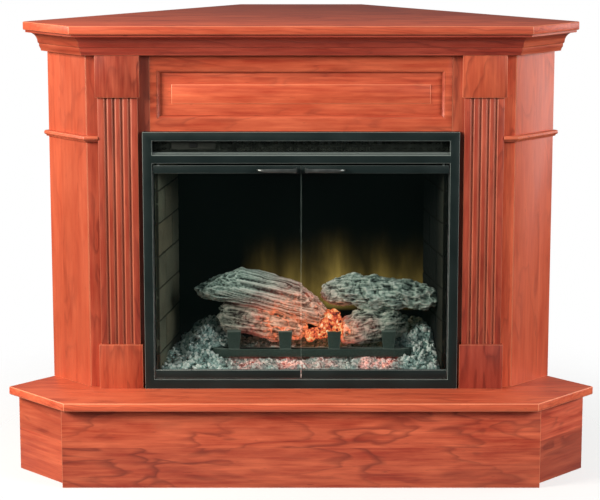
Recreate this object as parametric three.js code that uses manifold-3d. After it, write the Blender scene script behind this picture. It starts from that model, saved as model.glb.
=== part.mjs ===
// Corner fireplace: a wood mantel cabinet that stands across the corner of a room on a
// raised hearth box, with an electric fire behind a pair of glass doors.
// Millimetres, +Z up, front towards -Y. While the pieces are laid out, y = 0 is the face of
// the hearth's front board; the last lines centre the group over its own footprint.

import * as THREE from 'three';
import { mergeVertices } from 'three/addons/utils/BufferGeometryUtils.js';
import Module from 'manifold-3d';

const wasm = await Module();
wasm.setup();

// ---- Shared stock and clearances
const boardT = 19;          // solid boards of the cabinet and the hearth
const sheetT = 2;           // folded steel of the fire's casing
const fit = 0.3;            // gap at mitres, slanted seats and cut-round pieces
const running = 0.4;        // gap round pins and shafts that turn

// ---- Electric fire: frame, slot and doors
const frameHalf = 358;      // half width of the steel frame
const frameHeight = 597;
const frameDepth = 16;      // stands this far in front of the cabinet face
const frameSideBar = 21;
const frameTopBar = 20;
const frameBottomBar = 22;
const slotHeight = 27;      // air slot under the top bar
const crossbarHeight = 24;  // bar between the slot and the doors
const crossbarLip = 6;      // stepped upper edge of that bar
const doorTopGap = 5.5;
const doorBottomGap = 2;
const doorSideGap = 2;
const doorMeetGap = 1.5;
const doorFrontInset = 2;   // door rails behind the frame's front
const doorRailT = 8;
const doorTopRailH = 17.5;
const doorBottomRailH = 20;
const glassT = 4;
const glassGrip = 10;       // depth of glass held in a rail
const pivotInset = 13;      // door pivot from the door's outer edge
const pivotR = 2.5;
const pivotDepth = 6;       // how far a pin reaches into the frame
const handleLength = 92;
const handleInset = 8;      // handle from the door's meeting edge
const handleReach = 17;     // stands out from the rail
const handleStrapH = 11;
const handleStrapT = 3;
const handleDrop = 4;       // handle top below the rail top

// ---- Electric fire: casing, firebox and works
const casingGap = 3;        // casing to the opening's side
const casingTopGap = 2;
const casingDepth = 310;
const grilleT = 1.6;
const grilleColumns = 36;
const grilleRows = 2;
const grilleSlotW = 11;
const grilleSlotH = 7;
const plateWidth = 98;      // control plate at the slot's left end
const plateHeight = 19;
const plateInset = 44;      // from the frame's inner edge
const rockerR = 5;
const rockerWidth = 15.4;
const linerFrontSet = 22;   // firebox mouth behind the frame's front
const linerFrontInset = 15; // liner from the frame's inner edge, at the mouth
const linerBackInset = 48;  // and at the back
const linerT = 10;
const fireboxDepth = 194;
const ceilingDrop = 46;     // firebox ceiling below the casing top
const courseHeight = 68;    // brick courses of the liner
const brickLength = 130;
const mortarWidth = 7;
const mortarDepth = 3;
const screenT = 4;
const rotorHeight = 50;     // rotor axis above the casing floor
const rotorR = 20;
const rotorLength = 540;
const rotorPaddles = 9;
const shaftR = 3;
const bracketT = 3;
const bracketW = 36;
const rotorCheekRise = 12;  // cheek above its shaft
const rotorMotorR = 20;
const rotorMotorL = 22;
const rotorBare = 20;       // shaft left bare at each end
const paddleT = 1.2;
const wheelR = 17;
const wheelLength = 300;
const wheelRib = 4;         // depth of the wheel's ribs
const wheelEnd = 4;         // wheel to its cheeks
const blowerCheekRise = 18;
const blowerBehind = 25;    // cheek behind its shaft
const blowerAhead = 70;     // and before it, round the element
const blowerMotorR = 17;
const blowerMotorL = 40;
const elementR = 2.5;
const elementRow = 12;      // between the element's rods, front to back
const elementGap = 16;      // and up and down
const elementAhead = 33;    // rear row before the shaft
const elementEndW = 26;
const elementEndT = 4;
const elementPlay = 2;
const wheelBlades = 20;
const glandR = 9;
const glandBore = 4;
const glandFlange = 3;

// ---- Fuel bed
const bedLip = 43.6;        // height of the ember bed's front edge above the hearth
const bedColumns = 38;
const bedRows = 12;
const fuelCentre = 19;      // the log set sits this far right of the middle
const fuelMargin = 42;      // log set to the liners, at the mouth
const fuelHeight = 260;     // top of the envelope the logs are laid out in
const coalSwell = 3;        // height of the bed's small lumps
const grateSet = 40;        // grate bar behind the bed's front edge
const grateBarH = 19;
const grateBarD = 18;
const gratePostW = 25;
const gratePostRise = 41;
const grateBase = 59;       // underside of the grate above the hearth
const grateTurn = 26;       // the bar's ends turn back this far
const grateTail = 16;       // and run on this far
const grateArmW = 12;       // bars under the logs
const grateArmL = 92;

// ---- Cabinet
const blockGap = 5;         // frame to the blocks beside it
const blockWidth = 100;
const blockT = 16;
const topBlockH = 96;
const plinthBlockH = 104;
const pilasterWidth = 90;
const pilasterT = 11;
const fluteCount = 4;
const flutePitch = 17.7;
const fluteWidth = 8;
const fluteDepth = 3.6;
const faceStrip = 22;       // plain face outside the blocks
const sidePanelWidth = 138; // slanted side, corner to wall
const openingLap = 17;      // frame over the opening's edge
const topLap = 15;
const lowerRailH = 43;      // frieze: rail, recess, rail
const recessH = 111;
const upperRailH = 86;
const friezeStile = 15;     // face left at each end of the recess
const stickingWidth = 8;
const stickingDepth = 8;
const bevelWidth = 26;      // bevelled border of the raised panel
const fieldRise = 4;
const panelPlay = 2;        // panel edge short of the recess
const waistHeight = 573;    // band above the hearth
const waistTall = 14;
const waistProud = 14;
const crownTall = 51;
const crownFoot = 18;       // crown's reach at its foot
const crownHead = 61;       // and under the shelf
const shelfLip = 68;
const shelfT = 19;
const shelfEase = 2;
const railTall = 60;        // rails under the shelf along the walls

// ---- Plan of the corner and the hearth
const backHalf = 152;       // half width of the flat that clears the room corner
const faceSet = 120;        // cabinet face behind the hearth's front board
const sideStep = 104;       // hearth side board outside the cabinet side
const hearthHeight = 203;
const slabT = 19;
const slabEase = 2;
const slabFrontLip = 18;
const slabSideLip = 27.5;
const boardEndLap = 10;     // front board runs past the side boards

// ---- Derived places
const R2 = Math.SQRT2;
const mitre = Math.tan(Math.PI / 8);
const deck = hearthHeight;
const faceHalf = frameHalf + blockGap + blockWidth + faceStrip;
const bodySide = faceHalf - faceSet;                    // x - y on the cabinet's side
const wallSum = faceHalf + faceSet + sidePanelWidth * R2; // x + y on the room wall
const backY = wallSum - backHalf;
const hearthSide = bodySide + sideStep * R2;
const slabSide = hearthSide + slabSideLip * R2;
const slabHalf = slabSide - slabFrontLip;
const boardTop = deck - slabT;
const frontBoardHalf = hearthSide + boardT + boardEndLap;
const frameTop = deck + frameHeight;
const openingHalf = frameHalf - openingLap;
const openingTop = frameTop - topLap;
const recessHalf = openingHalf - friezeStile;
const recessLow = openingTop + lowerRailH;
const recessHigh = recessLow + recessH;
const underShelf = recessHigh + upperRailH;
const crownLow = underShelf - crownTall;
const blockMid = frameHalf + blockGap + blockWidth / 2;
const frameFront = faceSet - frameDepth;
const frameInner = frameHalf - frameSideBar;
const slotTop = frameTop - frameTopBar;
const slotLow = slotTop - slotHeight;
const crossbarLow = slotLow - crossbarHeight;
const doorLow = deck + frameBottomBar + doorBottomGap;
const doorTop = crossbarLow - doorTopGap;
const doorOuter = frameInner - doorSideGap;
const doorInner = doorMeetGap / 2;
const railFront = frameFront + doorFrontInset;
const doorMidY = railFront + doorRailT / 2;
const pivotX = doorOuter - pivotInset;
const casingHalf = openingHalf - casingGap;
const casingTop = openingTop - casingTopGap;
const casingBack = faceSet + casingDepth;
const casingIn = casingHalf - sheetT;
const floorZ = deck + sheetT;
const ceilingZ = casingTop - ceilingDrop;
const mouthY = frameFront + linerFrontSet;
const fireboxBack = mouthY + fireboxDepth;
const mouthHalf = frameInner - linerFrontInset;
const rearHalf = frameInner - linerBackInset;
const linerHalfAt = (y) => mouthHalf + ((rearHalf - mouthHalf) * (y - mouthY)) / fireboxDepth;
const screenY = fireboxBack + linerT * 0.3;
const fuelWidth = 2 * (mouthHalf - fuelMargin);

// ---- Solid helpers
function bare(geometry) {
  const g = geometry.clone();
  for (const key of Object.keys(g.attributes)) if (key !== 'position') g.deleteAttribute(key);
  return mergeVertices(g, 1e-4);
}

function solid(geometry) {
  const g = bare(geometry);
  const mesh = new wasm.Mesh({
    numProp: 3,
    vertProperties: new Float32Array(g.attributes.position.array),
    triVerts: new Uint32Array(g.index.array),
  });
  return new wasm.Manifold(mesh);
}

function fromSolid(manifold) {
  const mesh = manifold.getMesh();
  const g = new THREE.BufferGeometry();
  g.setAttribute('position', new THREE.BufferAttribute(new Float32Array(mesh.vertProperties), 3));
  g.setIndex(new THREE.BufferAttribute(new Uint32Array(mesh.triVerts), 1));
  return g;
}

const cut = (base, ...tools) =>
  fromSolid(tools.reduce((acc, tool) => acc.subtract(solid(tool)), solid(base)));
const join = (base, ...others) =>
  fromSolid(others.reduce((acc, other) => acc.add(solid(other)), solid(base)));

function mirrored(geometry) {
  const g = bare(geometry);
  g.scale(-1, 1, 1);
  const index = g.index.array;
  for (let i = 0; i < index.length; i += 3) [index[i + 1], index[i + 2]] = [index[i + 2], index[i + 1]];
  return g;
}

function outward(positions, index) {
  let volume = 0;
  const [a, b, c] = [new THREE.Vector3(), new THREE.Vector3(), new THREE.Vector3()];
  for (let i = 0; i < index.length; i += 3) {
    a.fromArray(positions, 3 * index[i]);
    b.fromArray(positions, 3 * index[i + 1]);
    c.fromArray(positions, 3 * index[i + 2]);
    volume += a.dot(b.cross(c));
  }
  if (volume < 0) for (let i = 0; i < index.length; i += 3) [index[i + 1], index[i + 2]] = [index[i + 2], index[i + 1]];
  const g = new THREE.BufferGeometry();
  g.setAttribute('position', new THREE.BufferAttribute(new Float32Array(positions), 3));
  g.setIndex(index);
  return g;
}

function block(x0, x1, y0, y1, z0, z1) {
  const g = new THREE.BoxGeometry(x1 - x0, y1 - y0, z1 - z0);
  return g.translate((x0 + x1) / 2, (y0 + y1) / 2, (z0 + z1) / 2);
}

const shapeOf = (points) => new THREE.Shape(points.map(([x, y]) => new THREE.Vector2(x, y)));

// A plan outline raised from z0 to z1.
function raised(points, z0, z1) {
  return new THREE.ExtrudeGeometry(shapeOf(points), { depth: z1 - z0, bevelEnabled: false })
    .translate(0, 0, z0);
}

// The same with its upper and lower edges eased.
function easedSlab(points, z0, z1, ease) {
  return new THREE.ExtrudeGeometry(shapeOf(points), {
    depth: z1 - z0 - 2 * ease, bevelEnabled: true, bevelThickness: ease, bevelSize: ease,
    bevelOffset: -ease, bevelSegments: 2,
  }).translate(0, 0, z0 + ease);
}

// A (y, z) section run from x0 to x1.
function alongX(section, x0, x1) {
  const turn = new THREE.Matrix4().makeBasis(
    new THREE.Vector3(0, 1, 0), new THREE.Vector3(0, 0, 1), new THREE.Vector3(1, 0, 0));
  return new THREE.ExtrudeGeometry(shapeOf(section), { depth: x1 - x0, bevelEnabled: false })
    .applyMatrix4(turn).translate(x0, 0, 0);
}

function rod(radius, length, sides, axis) {
  const g = new THREE.CylinderGeometry(radius, radius, length, sides);
  if (axis === 'x') g.rotateZ(Math.PI / 2);
  if (axis === 'z') g.rotateX(Math.PI / 2);
  return g;
}

// A moulding: a (reach, height) section carried through plan stations. Each station gives
// the point on the board's face and the direction in which the reach grows there.
function moulding(section, stations) {
  const positions = [];
  for (const s of stations) for (const [p, z] of section) positions.push(s.x + p * s.dx, s.y + p * s.dy, z);
  const n = section.length;
  const index = [];
  for (let k = 0; k + 1 < stations.length; k++) {
    for (let i = 0; i < n; i++) {
      const j = (i + 1) % n;
      const [a, b, c, d] = [k * n + i, k * n + j, (k + 1) * n + j, (k + 1) * n + i];
      index.push(a, b, c, a, c, d);
    }
  }
  const contour = section.map(([p, z]) => new THREE.Vector2(p, z));
  const flip = THREE.ShapeUtils.isClockWise(contour);
  const caps = THREE.ShapeUtils.triangulateShape(flip ? contour.slice().reverse() : contour, []);
  const last = (stations.length - 1) * n;
  for (const [a, b, c] of caps.map((t) => t.map((i) => (flip ? n - 1 - i : i)))) {
    if (flip) { index.push(a, b, c); index.push(last + c, last + b, last + a); }
    else { index.push(c, b, a); index.push(last + a, last + b, last + c); }
  }
  const tidy = orient(positions, index);
  return outward(tidy.positions, tidy.index);
}

// Makes neighbouring triangles agree, starting from the first side face.
function orient(positions, index) {
  const tris = [];
  for (let i = 0; i < index.length; i += 3) tris.push([index[i], index[i + 1], index[i + 2]]);
  const byEdge = new Map();
  tris.forEach((t, k) => {
    for (let e = 0; e < 3; e++) {
      const key = [t[e], t[(e + 1) % 3]].sort((a, b) => a - b).join();
      byEdge.set(key, [...(byEdge.get(key) ?? []), k]);
    }
  });
  const hasEdge = (t, a, b) => [0, 1, 2].some((e) => t[e] === a && t[(e + 1) % 3] === b);
  const done = new Set([0]);
  const queue = [0];
  while (queue.length) {
    const k = queue.pop();
    for (let e = 0; e < 3; e++) {
      const [a, b] = [tris[k][e], tris[k][(e + 1) % 3]];
      for (const m of byEdge.get([a, b].sort((p, q) => p - q).join())) {
        if (done.has(m)) continue;
        if (hasEdge(tris[m], a, b)) tris[m].reverse();
        done.add(m);
        queue.push(m);
      }
    }
  }
  return { positions, index: tris.flat() };
}

// Plan stations of a moulding on the cabinet: the right mitred corner, a square end on the
// face, and the square end on the wall. `back` shifts a mitre away from its neighbour.
const faceCorner = (side, back = 0) => ({ x: side * (faceHalf - back), y: faceSet, dx: side * mitre, dy: -1 });
const sideCorner = (forward = 0) => ({
  x: faceHalf + forward / R2, y: faceSet + forward / R2, dx: mitre, dy: -1 });
const faceEnd = (x) => ({ x, y: faceSet, dx: 0, dy: -1 });
const wallEnd = () => ({ x: (wallSum + bodySide) / 2, y: (wallSum - bodySide) / 2, dx: 1 / R2, dy: -1 / R2 });

// ---- Materials
const finish = (color, roughness, metalness, extra = {}) =>
  new THREE.MeshStandardMaterial({ color, roughness, metalness, ...extra });
const cherry = finish(0xb9532f, 0.42, 0);
const cherryInside = finish(0xc8a27a, 0.7, 0);
const blackSteel = finish(0x20292a, 0.45, 0.6);
const brightEdge = finish(0x9aa3a2, 0.3, 0.9);
const galvanised = finish(0x8d9391, 0.5, 0.8);
const glass = finish(0x20302d, 0.05, 0, { transparent: true, opacity: 0.3 });
const brick = finish(0x6b6a50, 0.9, 0);
const screen = finish(0x1a1712, 0.2, 0, { transparent: true, opacity: 0.6 });
const ember = finish(0xc24a33, 0.8, 0);
const bark = finish(0x7f8a80, 0.9, 0);
const iron = finish(0x37423f, 0.7, 0.4);
const greyPlate = finish(0x6d675c, 0.6, 0.2);
const blackPlastic = finish(0x1b1c1d, 0.5, 0);

const group = new THREE.Group();
function node(name, geometry, material) {
  const g = bare(geometry);
  g.computeVertexNormals();
  const mesh = new THREE.Mesh(g, material);
  mesh.name = name;
  group.add(mesh);
  return mesh;
}
function pair(name, rightGeometry, material) {
  node(`${name}_right`, rightGeometry, material);
  node(`${name}_left`, mirrored(rightGeometry), material);
}

// Plan outline of a slab that fills the corner, from its front edge back to the two walls.
function cornerOutline(front, half) {
  const side = half - front;
  const tip = [(wallSum + side) / 2, (wallSum - side) / 2];
  return [[-half, front], [half, front], tip, [backHalf, backY], [-backHalf, backY], [-tip[0], tip[1]]];
}

// A board that stands on a wall plane between two values of x - y.
function wallBoard(from, to, z0, z1) {
  const inner = wallSum - boardT * R2;
  const at = (sum, difference) => [(sum + difference) / 2, (sum - difference) / 2];
  return raised([at(inner, to), at(inner, from), at(wallSum, from), at(wallSum, to)].reverse(), z0, z1);
}

// The short board across the flat back, mitred to the wall boards.
function backBoard(z0, z1) {
  const outer = backHalf - fit * R2;
  const inner = outer - boardT;
  return raised([[-inner, backY - boardT], [inner, backY - boardT], [outer, backY], [-outer, backY]], z0, z1);
}

// ---- Hearth
node('hearth_slab', easedSlab(cornerOutline(-slabFrontLip, slabHalf), boardTop, deck, slabEase), cherry);
node('hearth_front_board', block(-frontBoardHalf, frontBoardHalf, 0, boardT, 0, boardTop), cherry);
{
  const y0 = boardT + fit;
  const innerSide = hearthSide - boardT * R2;
  const at = (sum, difference) => [(sum + difference) / 2, (sum - difference) / 2];
  pair('hearth_side_board', raised([
    [innerSide + y0, y0], [hearthSide + y0, y0], at(wallSum, hearthSide), at(wallSum, innerSide),
  ], 0, boardTop), cherry);
  pair('hearth_wall_board', wallBoard(innerSide - fit * R2, backHalf - backY, 0, boardTop), cherryInside);
  node('hearth_back_board', backBoard(0, boardTop), cherryInside);
}

// ---- Cabinet carcass
{
  const innerCorner = faceHalf - boardT * mitre;
  const back = fit / Math.cos(Math.PI / 8);
  pair('face_stile', raised([
    [openingHalf, faceSet], [faceHalf - back, faceSet],
    [innerCorner - back, faceSet + boardT], [openingHalf, faceSet + boardT],
  ], deck, underShelf), cherry);

  const innerSide = bodySide - boardT * R2;
  const at = (sum, difference) => [(sum + difference) / 2, (sum - difference) / 2];
  pair('side_panel', raised([
    [faceHalf, faceSet], at(wallSum, bodySide), at(wallSum, innerSide), [innerCorner, faceSet + boardT],
  ], deck, underShelf), cherry);
  pair('wall_rail', wallBoard(innerSide - fit * R2, backHalf - backY, underShelf - railTall, underShelf), cherryInside);
  node('back_rail', backBoard(underShelf - railTall, underShelf), cherryInside);
}

// ---- Frieze: a frame with a moulded edge round a raised panel
function windowStep(half0, z0, z1, y0, shrink, y1) {
  const at = (s, y) => [[-half0 + s, y, z0 + s], [half0 - s, y, z0 + s], [half0 - s, y, z1 - s], [-half0 + s, y, z1 - s]];
  const positions = [...at(0, y0), ...at(shrink, y1)].flat();
  const index = [0, 1, 2, 0, 2, 3, 4, 6, 5, 4, 7, 6];
  for (let i = 0; i < 4; i++) {
    const j = (i + 1) % 4;
    index.push(i, j, 4 + j, i, 4 + j, 4 + i);
  }
  const tidy = orient(positions, index);
  return outward(tidy.positions, tidy.index);
}
{
  const over = 1;                                       // cutters pass the faces they open
  const front = faceSet - over;
  const frame = block(-openingHalf, openingHalf, faceSet, faceSet + boardT, openingTop, underShelf);
  const half = stickingWidth / 2;
  node('frieze_frame', cut(
    frame,
    block(-recessHalf, recessHalf, front, faceSet + 1, recessLow, recessHigh),
    windowStep(recessHalf - 1, recessLow + 1, recessHigh - 1, faceSet, half - 1, faceSet + stickingDepth * 0.3),
    windowStep(recessHalf - half, recessLow + half, recessHigh - half, faceSet + stickingDepth * 0.3 - 0.01,
      half, faceSet + stickingDepth),
    block(-(recessHalf - stickingWidth), recessHalf - stickingWidth, faceSet, faceSet + boardT + over,
      recessLow + stickingWidth, recessHigh - stickingWidth),
    block(-(recessHalf + panelPlay), recessHalf + panelPlay, faceSet + stickingDepth + fit,
      faceSet + boardT + over, recessLow - panelPlay, recessHigh + panelPlay),
  ), cherry);

  const edge = recessHalf;
  const seat = faceSet + stickingDepth + 2 * fit;
  const inner = stickingWidth + bevelWidth;
  const tongue = block(-edge, edge, seat, faceSet + boardT - fit, recessLow, recessHigh);
  const bevel = windowStep(edge - stickingWidth - fit, recessLow + stickingWidth + fit,
    recessHigh - stickingWidth - fit, seat + 1, bevelWidth - fit, seat - fieldRise * 0.6);
  const field = block(-(edge - inner), edge - inner, seat - fieldRise, seat + 1, recessLow + inner, recessHigh - inner);
  node('frieze_panel', join(tongue, bevel, field), cherry);
}

// ---- Pilasters, blocks, waist band
{
  const front = faceSet - pilasterT;
  const section = [[blockMid - pilasterWidth / 2, faceSet], [blockMid - pilasterWidth / 2, front]];
  for (let i = 0; i < fluteCount; i++) {
    const mid = blockMid + (i - (fluteCount - 1) / 2) * flutePitch;
    for (let k = 0; k <= 4; k++) {
      const a = (Math.PI * k) / 4;
      section.push([mid - (fluteWidth / 2) * Math.cos(a), front + fluteDepth * Math.sin(a)]);
    }
  }
  section.push([blockMid + pilasterWidth / 2, front], [blockMid + pilasterWidth / 2, faceSet]);
  pair('pilaster', raised(section, deck + plinthBlockH, crownLow - topBlockH), cherry);

  const [x0, x1] = [blockMid - blockWidth / 2, blockMid + blockWidth / 2];
  pair('top_block', block(x0, x1, faceSet - blockT, faceSet, crownLow - topBlockH, crownLow), cherry);
  pair('plinth_block', block(x0, x1, faceSet - blockT, faceSet, deck, deck + plinthBlockH), cherry);

  const z0 = deck + waistHeight;
  const z1 = z0 + waistTall;
  const p = waistProud;
  const band = [[fit, z0], [p * 0.45, z0], [p * 0.55, z0 + waistTall * 0.25], [p * 0.85, z0 + waistTall * 0.35],
    [p, z0 + waistTall * 0.6], [p * 0.93, z0 + waistTall * 0.9], [p * 0.8, z1], [fit, z1]];
  const start = faceEnd(blockMid + pilasterWidth / 2 + fit);
  pair('waist_band', moulding(band, [start, faceCorner(1), wallEnd()]), cherry);
}

// ---- Crown and mantel shelf
{
  const [z0, z1] = [crownLow, underShelf];
  const span = crownHead - crownFoot;
  const section = [[fit, z0], [crownFoot, z0], [crownFoot, z0 + 3], [crownFoot + 1, z0 + 5],
    [crownFoot + 5, z0 + 11], [crownFoot + 5, z0 + 17], [crownFoot + 8, z0 + 18.5]];
  const cove = 6;                                       // steps of the hollow
  const coveLow = z0 + 20;
  const coveHigh = z1 - 6;
  for (let k = 0; k <= cove; k++) {
    const a = (Math.PI / 2) * (k / cove);
    section.push([crownFoot + 9 + (span - 12) * (1 - Math.cos(a)), coveLow + (coveHigh - coveLow) * Math.sin(a)]);
  }
  section.push([crownHead, coveHigh], [crownHead, z1], [fit, z1]);
  const back = fit / Math.cos(Math.PI / 8);
  node('crown_front', moulding(section, [faceCorner(-1, back), faceCorner(1, back)]), cherry);
  pair('crown_side', moulding(section, [faceCorner(1), wallEnd()]), cherry);
}
node('mantel_shelf', easedSlab(cornerOutline(faceSet - shelfLip, faceHalf + shelfLip * mitre),
  underShelf, underShelf + shelfT, shelfEase), cherry);

// ---- Fire casing
node('casing_floor', block(-casingHalf, casingHalf, faceSet, casingBack, deck, floorZ), galvanised);
node('casing_top', block(-casingHalf, casingHalf, faceSet, casingBack, casingTop - sheetT, casingTop), galvanised);
const glandX = -(casingHalf - 60);
const glandZ = deck + 40;
{
  const wrap = raised([
    [-casingHalf, faceSet], [-casingIn, faceSet], [-casingIn, casingBack - sheetT], [casingIn, casingBack - sheetT],
    [casingIn, faceSet], [casingHalf, faceSet], [casingHalf, casingBack], [-casingHalf, casingBack],
  ], floorZ, casingTop - sheetT);
  const hole = rod(glandR + fit, 3 * sheetT, 20, 'y').translate(glandX, casingBack - sheetT / 2, glandZ);
  node('casing_wrap', cut(wrap, hole), galvanised);

  const half = sheetT + fit;
  const profile = [[glandBore, -4], [glandR, -4], [glandR, half], [glandR + 4, half],
    [glandR + 4, half + glandFlange], [glandBore + 3, half + glandFlange + 6], [glandBore, half + glandFlange + 6]];
  const gland = new THREE.LatheGeometry([...profile, profile[0]].map(([r, y]) => new THREE.Vector2(r, y)), 20);
  node('cord_gland', gland.translate(glandX, casingBack - sheetT, glandZ), blackPlastic);
}

// ---- Steel frame with its crossbar
const slotPlateX = -(frameInner - plateInset - plateWidth / 2);
{
  const over = 1;
  const frame = block(-frameHalf, frameHalf, frameFront, faceSet, deck, frameTop);
  const slot = block(-frameInner, frameInner, frameFront - over, faceSet + over, slotLow, slotTop);
  const window = block(-frameInner, frameInner, frameFront - over, faceSet + over, deck + frameBottomBar, crossbarLow);
  const lip = alongX([
    [frameFront - over, slotLow - crossbarLip], [frameFront + 2, slotLow - crossbarLip],
    [frameFront + 3, slotLow - crossbarLip / 2], [frameFront + 6, slotLow - crossbarLip / 2],
    [frameFront + 7, slotLow + over], [frameFront - over, slotLow + over],
  ], -frameInner, frameInner);
  const pins = [-1, 1].flatMap((side) => [crossbarLow, deck + frameBottomBar].map((z) =>
    rod(pivotR + running, 2 * (pivotDepth + 1), 16, 'z').translate(side * pivotX, doorMidY, z)));
  node('trim_frame', cut(frame, slot, window, lip, ...pins), blackSteel);
}

// ---- Slot: grille sheet, control plate and rocker
{
  const [z0, z1] = [slotLow - 5, casingTop - sheetT];
  const sheet = block(-casingIn, casingIn, faceSet, faceSet + grilleT, z0, z1);
  const plateZ = (slotLow + slotTop) / 2 + 2;
  const holes = [];
  const pitchX = (2 * frameInner) / grilleColumns;
  const pitchZ = slotHeight / grilleRows;
  for (let i = 0; i < grilleColumns; i++) {
    const x = -frameInner + (i + 0.5) * pitchX;
    if (Math.abs(x - slotPlateX) < plateWidth / 2 + grilleSlotW / 2 + 2) continue;
    for (let j = 0; j < grilleRows; j++) {
      const z = slotLow + (j + 0.5) * pitchZ;
      holes.push(block(x - grilleSlotW / 2, x + grilleSlotW / 2, faceSet - 1, faceSet + grilleT + 1,
        z - grilleSlotH / 2, z + grilleSlotH / 2));
    }
  }
  const rockerHole = (y0, y1) => block(slotPlateX - rockerWidth / 2 - fit, slotPlateX + rockerWidth / 2 + fit,
    y0, y1, plateZ - rockerR - fit, plateZ + rockerR + fit);
  node('grille_sheet', cut(sheet, ...holes, rockerHole(faceSet - 1, faceSet + grilleT + 1)), blackSteel);

  const plateY = faceSet - 2;
  const plate = block(slotPlateX - plateWidth / 2, slotPlateX + plateWidth / 2, plateY, faceSet,
    plateZ - plateHeight / 2, plateZ + plateHeight / 2);
  node('control_plate', cut(plate, rockerHole(plateY - 1, faceSet + 1)), greyPlate);

  const section = [];
  for (let k = 0; k <= 12; k++) {                       // a drum with a shallow V on its front
    const a = -Math.PI * 0.72 + (Math.PI * 1.44 * k) / 12;
    section.push([plateY + 1 + rockerR * Math.cos(a), plateZ + rockerR * Math.sin(a)]);
  }
  section.push([plateY + 1 - rockerR * 0.5, plateZ]);
  node('heat_rocker', alongX(section, slotPlateX - rockerWidth / 2, slotPlateX + rockerWidth / 2), blackPlastic);
}

// ---- Doors
{
  const slotHalf = glassT / 2 + fit;
  const [y0, y1] = [railFront, railFront + doorRailT];
  const channel = (z0, z1, up) => {
    const inner = up ? z1 - glassGrip : z0 + glassGrip;
    const [mouth, floor] = up ? [z1, z0] : [z0, z1];
    return [[y0, floor], [y0, mouth], [doorMidY - slotHalf, mouth], [doorMidY - slotHalf, inner],
      [doorMidY + slotHalf, inner], [doorMidY + slotHalf, mouth], [y1, mouth], [y1, floor]];
  };
  const pin = (z0, z1) => rod(pivotR, z1 - z0, 16, 'z').translate(pivotX, doorMidY, (z0 + z1) / 2);
  const topRail = alongX(channel(doorTop - doorTopRailH, doorTop, false), doorInner, doorOuter);
  const lowRail = alongX(channel(doorLow, doorLow + doorBottomRailH, true), doorInner, doorOuter);
  pair('door_top_rail', join(topRail, pin(doorTop - 1, crossbarLow + pivotDepth)), blackSteel);
  pair('door_bottom_rail', join(lowRail, pin(deck + frameBottomBar - pivotDepth, doorLow + 1)), blackSteel);
  pair('door_glass', block(doorInner + fit, doorOuter - fit, doorMidY - glassT / 2, doorMidY + glassT / 2,
    doorLow + doorBottomRailH - glassGrip + fit, doorTop - doorTopRailH + glassGrip - fit), glass);

  const [x0, x1] = [doorInner + handleInset, doorInner + handleInset + handleLength];
  const [yf, yb, t] = [railFront - handleReach, railFront, handleStrapT];
  const soft = 5;                                       // bend of the strap
  const strap = [[x0, yb], [x0, yf + soft], [x0 + soft, yf], [x1 - soft, yf], [x1, yf + soft], [x1, yb],
    [x1 - t, yb], [x1 - t, yf + soft + 1], [x1 - soft - 1, yf + t], [x0 + soft + 1, yf + t], [x0 + t, yf + soft + 1],
    [x0 + t, yb]];
  const zh = doorTop - handleDrop;
  pair('door_handle', raised(strap, zh - handleStrapH, zh), brightEdge);
}

// ---- Firebox: brick liners, ceiling, flame screen
{
  const length = Math.hypot(fireboxDepth, mouthHalf - rearHalf);
  const height = ceilingZ - floorZ;
  const panel = block(0, length, 0, linerT, 0, height);
  const grooves = [];
  const rows = Math.floor(height / courseHeight);
  for (let r = 0; r <= rows; r++) {
    const z = r * courseHeight;
    if (r > 0) grooves.push(block(-1, length + 1, -1, mortarDepth, z - mortarWidth / 2, z + mortarWidth / 2));
    const top = Math.min(z + courseHeight, height) + (r === rows ? 1 : 0);
    for (let u = r % 2 ? brickLength / 2 : brickLength; u < length - mortarWidth; u += brickLength) {
      grooves.push(block(u - mortarWidth / 2, u + mortarWidth / 2, -1, mortarDepth, z - (r ? 0 : 1), top));
    }
  }
  const along = new THREE.Vector3(rearHalf - mouthHalf, fireboxDepth, 0).normalize();
  const out = new THREE.Vector3(along.y, -along.x, 0);
  const place = new THREE.Matrix4().makeBasis(along, out, new THREE.Vector3(0, 0, 1));
  const liner = cut(panel, ...grooves);
  liner.applyMatrix4(place).translate(mouthHalf, mouthY, floorZ);
  const index = liner.index.array;                      // the basis above is left-handed
  for (let i = 0; i < index.length; i += 3) [index[i + 1], index[i + 2]] = [index[i + 2], index[i + 1]];
  pair('brick_liner', liner, brick);
}
node('firebox_ceiling', block(-casingIn, casingIn, mouthY, casingBack - sheetT, ceilingZ, ceilingZ + sheetT), blackSteel);
node('flame_screen', block(-casingIn, casingIn, screenY, screenY + screenT, floorZ, ceilingZ), screen);

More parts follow.
